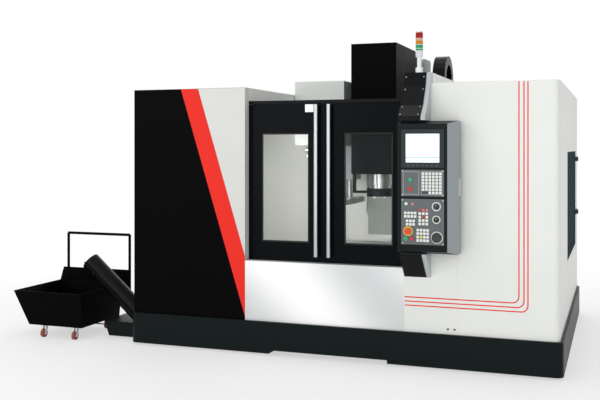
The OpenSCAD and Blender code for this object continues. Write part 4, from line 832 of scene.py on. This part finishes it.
class MACHINE_OT_keys(PieceOperator, bpy.types.Operator):
    """Caps the keys of the keyboard and operator panels in their colours"""

    bl_idname = "machine.keys"
    bl_label = "Keys"

    # Width of a key in the solids, and its height over the panel's face
    key = 0.015
    key_rise = 0.004
    power_rise = 0.006
    # How far a cap stands over its key, keeps off the face and is rounded
    cap_over = 0.0015
    cap_gap = 0.0003
    cap_round = 0.0018
    # Each group: left edge, lower edge, columns, rows, pitch across, pitch up, finish
    keyboard_group = (0.160, 0.020, 6, 7, 0.026, 0.024, "key_white")
    panel_groups = (
        (0.024, 0.205, 4, 2, 0.025, 0.026, "key_white"),
        (0.038, 0.145, 3, 2, 0.025, 0.026, "key_white"),
        (0.135, 0.150, 3, 5, 0.027, 0.026, "key_white"),
        (0.120, 0.025, 4, 4, 0.025, 0.026, "key_white"),
        (0.030, 0.300, 2, 1, 0.050, 0.026, "key_mint"),
    )
    # Keys of other colours by their place in a group, counted row by row from the lower left
    keyboard_special = {0: "key_dark", 1: "key_dark"}
    panel_special = ({}, {}, {7: "key_red", 12: "key_red", 13: "key_pink", 14: "key_pink"},
                     {5: "key_lime"}, {1: "key_pink"})
    # Each power key: lower edge, finish
    power_keys = ((0.040, "hold"), (0.110, "start"))
    power_sides = (0.055, 0.085)
    power_up = (-0.001, 0.029)
    power_round = 0.003
    border_in = 0.007
    border_split = 0.141
    border_rise = 0.0008
    border_round = 0.0003

    def cap_group(self, meshes, corner, face, group, special):
        """Caps one field of keys, each in the mesh of its finish."""
        left, down, columns, rows, step_x, step_z, finish = group
        grow = (trim().key_cap - self.key) / 2
        for i in range(columns):
            for j in range(rows):
                tone = special.get(i + j * columns, finish)
                x, z = corner.x + left + i * step_x, corner.z + down + j * step_z
                add_block(meshes[tone],
                          (x - grow, face - self.key_rise - self.cap_over, z - grow),
                          (x + self.key + grow, face - self.cap_gap, z + self.key + grow), self.cap_round)

    def key_borders(self, low, high, face):
        wide = trim().key_border
        edge = self.border_in
        bottom, top = low.z + edge + wide, high.z - edge - wide
        borders = bmesh.new()
        for x0, x1 in ((edge, self.border_split), (self.border_split + wide, high.x - low.x - edge)):
            add_frame(borders, (low.x + x0 + wide, bottom), (low.x + x1 - wide, top), wide, face,
                      self.border_rise, self.border_round)
        add_piece("key_borders", borders, "key_grey")

    def execute(self, context):
        meshes = defaultdict(bmesh.new)
        low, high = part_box("keyboard_panel")
        face = low.y + self.power_rise
        self.cap_group(meshes, low, face, self.keyboard_group, self.keyboard_special)
        self.key_borders(low, high, face)
        left, right = self.power_sides
        under, over = self.power_up
        for z, finish in self.power_keys:
            add_block(meshes[finish],
                      (low.x + left, face - self.power_rise - self.cap_over, low.z + z + under),
                      (low.x + right, face - self.cap_gap, low.z + z + over), self.power_round)
        low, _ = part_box("operator_panel")
        for group, special in zip(self.panel_groups, self.panel_special):
            self.cap_group(meshes, low, low.y + self.key_rise, group, special)
        for finish, caps in meshes.items():
            add_piece(f"caps_{finish}", caps, finish)
        return {"FINISHED"}


class MACHINE_OT_buttons(PieceOperator, bpy.types.Operator):
    """Finishes the push buttons and knobs and marks their dials"""

    bl_idname = "machine.buttons"
    bl_label = "Buttons"

    # Depth of the dials' rims and of the stop's seat behind the panel's foremost point
    rim_in = 0.002
    stop_in = 0.004
    ring_thick = 0.0012
    ring_wide = 0.007
    # Each dial: node, growth of its ring
    dial_grow = (("feed_knob", 0.0), ("spindle_knob", -0.003), ("handwheel", 0.0115))
    ticks = 24
    # Every so many ticks one is long, and the others start this share further out
    long_tick = 4
    short_start = 0.4
    tick_wide = 0.0016
    tick_thick = 0.0008
    # Room between the ticks and the knob, and between the ticks and the ring's edge
    tick_room = (0.003, 0.004)
    # Outer and inner radius
    stop_ring = (0.037, 0.0262)
    pointer_half = 0.001
    pointer_deep = (-0.0005, 0.002)
    pointer_up = (0.002, 0.016)

    def add_ticks(self, bm, centre, face, inner, outer):
        for i in range(self.ticks):
            angle = 2 * math.pi * i / self.ticks
            start = inner + (outer - inner) * (self.short_start if i % self.long_tick else 0)
            middle = (start + outer) / 2
            place = Matrix.Translation(
                (centre.x + middle * math.sin(angle), face, centre.z + middle * math.cos(angle)))
            turn = Matrix.Rotation(angle, 4, "Y")
            size = Matrix.Diagonal((self.tick_wide, self.tick_thick, outer - start, 1))
            bmesh.ops.create_cube(bm, size=1, matrix=place @ turn @ size)

    def pointer(self, node):
        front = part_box(node)[0].y
        centre = middle_of(node)
        (y0, y1), (z0, z1) = self.pointer_deep, self.pointer_up
        pointer = bmesh.new()
        add_block(pointer, (centre.x - self.pointer_half, front + y0, centre.z + z0),
                  (centre.x + self.pointer_half, front + y1, centre.z + z1))
        add_piece(f"{node}_pointer", pointer, "mark", node)

    def execute(self, context):
        for node, finish in (("emergency_stop", "stop"), ("cycle_start", "start"), ("feed_hold", "hold"),
                             ("feed_knob", "knob"), ("spindle_knob", "knob"), ("handwheel", "knob")):
            finish_node(node, finish)
        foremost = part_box("operator_panel")[0].y
        face = foremost + self.rim_in
        knob_room, edge_room = self.tick_room
        ticks, rings, stop = bmesh.new(), bmesh.new(), bmesh.new()
        for node, grow in self.dial_grow:
            low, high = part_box(node)
            centre = middle_of(node)
            outer = trim().dial_ring + grow
            self.add_ticks(ticks, centre, face, (high.x - low.x) / 2 + knob_room, outer - edge_room)
            add_ring(rings, (centre.x, face, centre.z), FORWARD, outer, outer - self.ring_wide,
                     self.ring_thick)
        add_piece("dial_ticks", ticks, "mark")
        add_piece("dial_rings", rings, "mark")
        centre = middle_of("emergency_stop")
        add_ring(stop, (centre.x, foremost + self.stop_in, centre.z), FORWARD, *self.stop_ring,
                 self.ring_thick)
        add_piece("stop_ring", stop, "yellow")
        for node in ("feed_knob", "spindle_knob"):
            self.pointer(node)
        return {"FINISHED"}


class MACHINE_OT_signal_lamps(PieceOperator, bpy.types.Operator):
    """Replaces the lamp stack with ribbed lenses in their colours"""

    bl_idname = "machine.signal_lamps"
    bl_label = "Signal lamps"

    finishes_up = ("lamp_clear", "lamp_green", "lamp_orange", "lamp_red")
    ribs = 40
    rib_depth = 0.0012
    lens_edge = 0.003
    joint = 0.004
    joint_in = 0.002

    def lens(self, centre, low, high, radius):
        """A lens between two heights, ribbed all round, with bevelled ends."""
        edge = self.lens_edge
        lens = bmesh.new()
        rows = []
        for z, inset in ((low, edge), (low + edge, 0), (high - edge, 0), (high, edge)):
            row = []
            for i in range(2 * self.ribs):
                angle, reach = math.pi * i / self.ribs, radius - inset - self.rib_depth * (i % 2)
                row.append(lens.verts.new(
                    (centre.x + reach * math.cos(angle), centre.y + reach * math.sin(angle), z)))
            rows.append(row)
        join_rows(lens, rows)
        close_ends(lens, rows)
        return lens

    def execute(self, context):
        finish_node("tower_pole", "lamp_white")
        low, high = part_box("tower_lenses")
        centre = middle_of("tower_lenses")
        radius = (high.x - low.x) / 2
        step = (high.z - low.z) / len(self.finishes_up)
        joints = bmesh.new()
        for i, finish in enumerate(self.finishes_up):
            base = low.z + i * step
            lens = self.lens(centre, base, base + step - self.joint, radius)
            piece = add_piece(f"lens_{finish}", lens, finish)
            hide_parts("tower_lenses")
            top = low.z + (i + 1) * step
            add_disc(joints, (centre.x, centre.y, top - self.joint), UP, radius - self.joint_in, self.joint)
        add_piece("lamp_joints", joints, "lamp_white")
        return {"FINISHED"}


class MACHINE_OT_work_area(PieceOperator, bpy.types.Operator):
    """Finishes the castings, axes, spindle, covers, tool changer and guards"""

    bl_idname = "machine.work_area"
    bl_label = "Work area"

    nodes_by_finish = {
        "cast": ("bed_casting", "column_casting", "saddle", "atc_frame", "head_casting"),
        "turned": ("feed_drives", "spindle_nose", "spindle", "magazine_disc", "arm_shaft"),
        "ground": ("table", "tool_arm"),
        "cover": ("y_way_covers", "z_cover_upper", "z_cover_mid"),
        "head": ("head_cover",),
        "black": ("coolant_ring", "cable_chain"),
        "guard": ("inner_guard",),
        "pale": ("magazine_cover",),
    }

    def execute(self, context):
        for finish, nodes in self.nodes_by_finish.items():
            for node in nodes:
                finish_node(node, finish)
        return {"FINISHED"}


class MACHINE_OT_chip_handling(PieceOperator, bpy.types.Operator):
    """Finishes the chip chute, its screw and the cart, and adds the cart's wing"""

    bl_idname = "machine.chip_handling"
    bl_label = "Chip handling"

    # Corners of the sloping wing beside the cart's back plate: X and Z
    wing = ((-2.925, 0.360), (-2.995, 0.420), (-2.955, 0.550), (-2.925, 0.550))
    wing_back = -0.809
    wing_thick = 0.004

    def execute(self, context):
        finish_node("chip_chute", "black")
        finish_node("chip_auger", "turned")
        finish_node("cart_hopper", "deep")
        for node in ("cart_fork_left", "cart_fork_right"):
            finish_node(node, "zinc")
        for node in ("cart_wheel_left", "cart_wheel_right", "cart_rear_wheels"):
            finish_node(node, "wheel")
        wing = bmesh.new()
        add_plate(wing, self.wing, self.wing_back, self.wing_thick)
        add_piece("cart_wing", wing, "deep", "cart")
        return {"FINISHED"}


class MACHINE_OT_stage(PieceOperator, bpy.types.Operator):
    """Sets the camera, the pale floor and the soft studio light"""

    bl_idname = "machine.stage"
    bl_label = "Stage"

    # The photograph's camera: its eye, turn and focal length, and its picture in pixels
    eye = (2.205, -8.230, 1.732)
    turn = math.radians(19.84)
    focal_px = 882.0
    frame_px = 600
    horizon_px = 146.95
    middle_px = 200
    sensor = 36
    far_clip = 200
    # Each soft box: place, aim, size, power
    soft_boxes = (
        ((-5.0, -9.0, 3.6), (0, -0.5, 1.0), 6.0, 185),
        ((1.8, -10.0, 3.0), (0.6, 0.0, 1.0), 6.0, 185),
        ((6.2, -5.9, 1.8), (1.7, -1.3, 1.2), 2.5, 45),
        ((0.0, 0.0, 8.0), (0, 0, 0), 7.0, 150),
        ((-1.0, 8.0, 5.0), (0, 0.5, 1.0), 5.0, 200),
    )
    # Each work light inside the enclosure: place, aim, width, height, power
    work_lights = (
        ((-1.3, -1.15, 1.85), (-0.9, 0.6, 1.1), 0.7, 0.25, 7),
        ((0.7, -1.15, 1.85), (0.6, 0.5, 0.95), 0.9, 0.25, 5),
        ((0.1, -1.2, 0.9), (0.1, 0.5, 1.15), 1.6, 0.2, 4),
    )
    work_spread = math.radians(95)
    white = (1, 1, 1, 1)
    floor_half = 40
    floor_tone = (0.93, 0.93, 0.93, 1)
    floor_rough = (0.55, 0.75)
    # The floor turns white between these distances, from a haze that is there throughout
    floor_fade = (2.4, 6.0)
    floor_haze = 0.55
    # Strength of the world where it lights, and where it is seen
    world_light = 0.5
    world_seen = 1.0

    def looked_at(self, tree):
        """1 where the background is seen, also in metal and through glass, and 0 where it only lights."""
        path = tree.nodes.new("ShaderNodeLightPath")
        value = path.outputs["Is Camera Ray"]
        for ray in ("Is Glossy Ray", "Is Transmission Ray"):
            either = tree.nodes.new("ShaderNodeMath")
            either.operation = "MAXIMUM"
            tree.links.new(value, either.inputs[0])
            tree.links.new(path.outputs[ray], either.inputs[1])
            value = either.outputs[0]
        return value

    def mix_shaders(self, tree, factor, first, second, output):
        mix = tree.nodes.new("ShaderNodeMixShader")
        for source, socket in zip((factor, first.outputs[0], second.outputs[0]), mix.inputs):
            tree.links.new(source, socket)
        tree.links.new(mix.outputs[0], tree.nodes[output].inputs["Surface"])

    def floor_paleness(self, tree):
        """How far the floor fades to white, by its distance from the machine's middle."""
        place = tree.nodes.new("ShaderNodeTexCoord")
        away = tree.nodes.new("ShaderNodeVectorMath")
        away.operation = "LENGTH"
        far = tree.nodes.new("ShaderNodeMapRange")
        far.interpolation_type = "SMOOTHSTEP"
        far.inputs["From Min"].default_value, far.inputs["From Max"].default_value = self.floor_fade
        far.inputs["To Min"].default_value = self.floor_haze
        tree.links.new(place.outputs["Object"], away.inputs[0])
        tree.links.new(away.outputs["Value"], far.inputs["Value"])
        shown = tree.nodes.new("ShaderNodeMath")
        shown.operation = "MULTIPLY"
        tree.links.new(far.outputs["Result"], shown.inputs[0])
        tree.links.new(self.looked_at(tree), shown.inputs[1])
        return shown.outputs[0]

    def pale_floor(self):
        bm = bmesh.new()
        bmesh.ops.create_grid(bm, x_segments=1, y_segments=1, size=self.floor_half)
        floor = bpy.data.objects.new("floor", mesh_from("floor", bm))
        bpy.context.scene.collection.objects.link(floor)
        material, tree, shader = new_material("pale_floor")
        shader.inputs["Base Color"].default_value = self.floor_tone
        grain = ranged(tree, grain_noise(tree, FLOOR_GRAIN), *self.floor_rough)
        tree.links.new(grain, shader.inputs["Roughness"])
        haze = tree.nodes.new("ShaderNodeEmission")
        haze.inputs["Color"].default_value = self.white
        self.mix_shaders(tree, self.floor_paleness(tree), shader, haze, "Material Output")
        floor.data.materials.append(material)

    def pale_world(self):
        world = bpy.data.worlds.new("studio")
        bpy.context.scene.world = world
        world.use_nodes = True
        tree = world.node_tree
        lit, seen = tree.nodes["Background"], tree.nodes.new("ShaderNodeBackground")
        for background, strength in ((lit, self.world_light), (seen, self.world_seen)):
            background.inputs["Color"].default_value = self.white
            background.inputs["Strength"].default_value = strength
        self.mix_shaders(tree, self.looked_at(tree), lit, seen, "World Output")

    def area_light(self, name, place, aim, power):
        lamp = bpy.data.lights.new(name, "AREA")
        lamp.energy = power
        holder = bpy.data.objects.new(name, lamp)
        holder.location = place
        holder.rotation_euler = (Vector(aim) - Vector(place)).to_track_quat("-Z", "Y").to_euler()
        bpy.context.scene.collection.objects.link(holder)
        return lamp, holder

    def lights(self):
        for number, (place, aim, size, power) in enumerate(self.soft_boxes):
            lamp, _ = self.area_light(f"soft_box_{number}", place, aim, power)
            lamp.size = size
        for number, (place, aim, width, height, power) in enumerate(self.work_lights):
            lamp, holder = self.area_light(f"work_light_{number}", place, aim, power)
            lamp.shape, lamp.size, lamp.size_y = "RECTANGLE", width, height
            lamp.spread = self.work_spread
            holder.visible_camera = False

    def camera(self, scene):
        lens = bpy.data.cameras.new("camera")
        lens.sensor_width = self.sensor
        lens.lens = self.sensor * self.focal_px / self.frame_px
        lens.shift_y = (self.horizon_px - self.middle_px) / self.frame_px
        lens.clip_end = self.far_clip
        camera = bpy.data.objects.new("camera", lens)
        camera.location = self.eye
        camera.rotation_euler = (math.pi / 2, 0, self.turn)
        scene.collection.objects.link(camera)
        scene.camera = camera

    def execute(self, context):
        context.scene.view_settings.view_transform = "Standard"
        self.pale_floor()
        self.pale_world()
        self.lights()
        self.camera(context.scene)
        return {"FINISHED"}


PIECES = (
    MACHINE_OT_stage, MACHINE_OT_finishes, MACHINE_OT_enclosure, MACHINE_OT_stripes, MACHINE_OT_doors,
    MACHINE_OT_console, MACHINE_OT_display, MACHINE_OT_keys, MACHINE_OT_buttons, MACHINE_OT_signal_lamps,
    MACHINE_OT_work_area, MACHINE_OT_chip_handling,
)


class MACHINE_PT_sidebar(bpy.types.Panel):
    """Lists the machine's pieces, colours and sizes"""

    bl_label = "Machining Center"
    bl_idname = "MACHINE_PT_sidebar"
    bl_space_type = "VIEW_3D"
    bl_region_type = "UI"
    bl_category = "Machine"

    def draw(self, context):
        for piece in PIECES:
            self.layout.operator(piece.bl_idname)
        for group in (context.scene.machine_finishes, context.scene.machine_trim):
            for name in group.__annotations__:
                self.layout.prop(group, name)


CLASSES = (FinishColours, TrimSizes, *PIECES, MACHINE_PT_sidebar)


def register():
    for made in CLASSES:
        bpy.utils.register_class(made)
    bpy.types.Scene.machine_finishes = bpy.props.PointerProperty(type=FinishColours)
    bpy.types.Scene.machine_trim = bpy.props.PointerProperty(type=TrimSizes)


def unregister():
    del bpy.types.Scene.machine_trim
    del bpy.types.Scene.machine_finishes
    for made in reversed(CLASSES):
        bpy.utils.unregister_class(made)


def main():
    register()
    for piece in PIECES:
        group, name = piece.bl_idname.split(".")
        getattr(getattr(bpy.ops, group), name)()


if __name__ == "__main__":
    main()
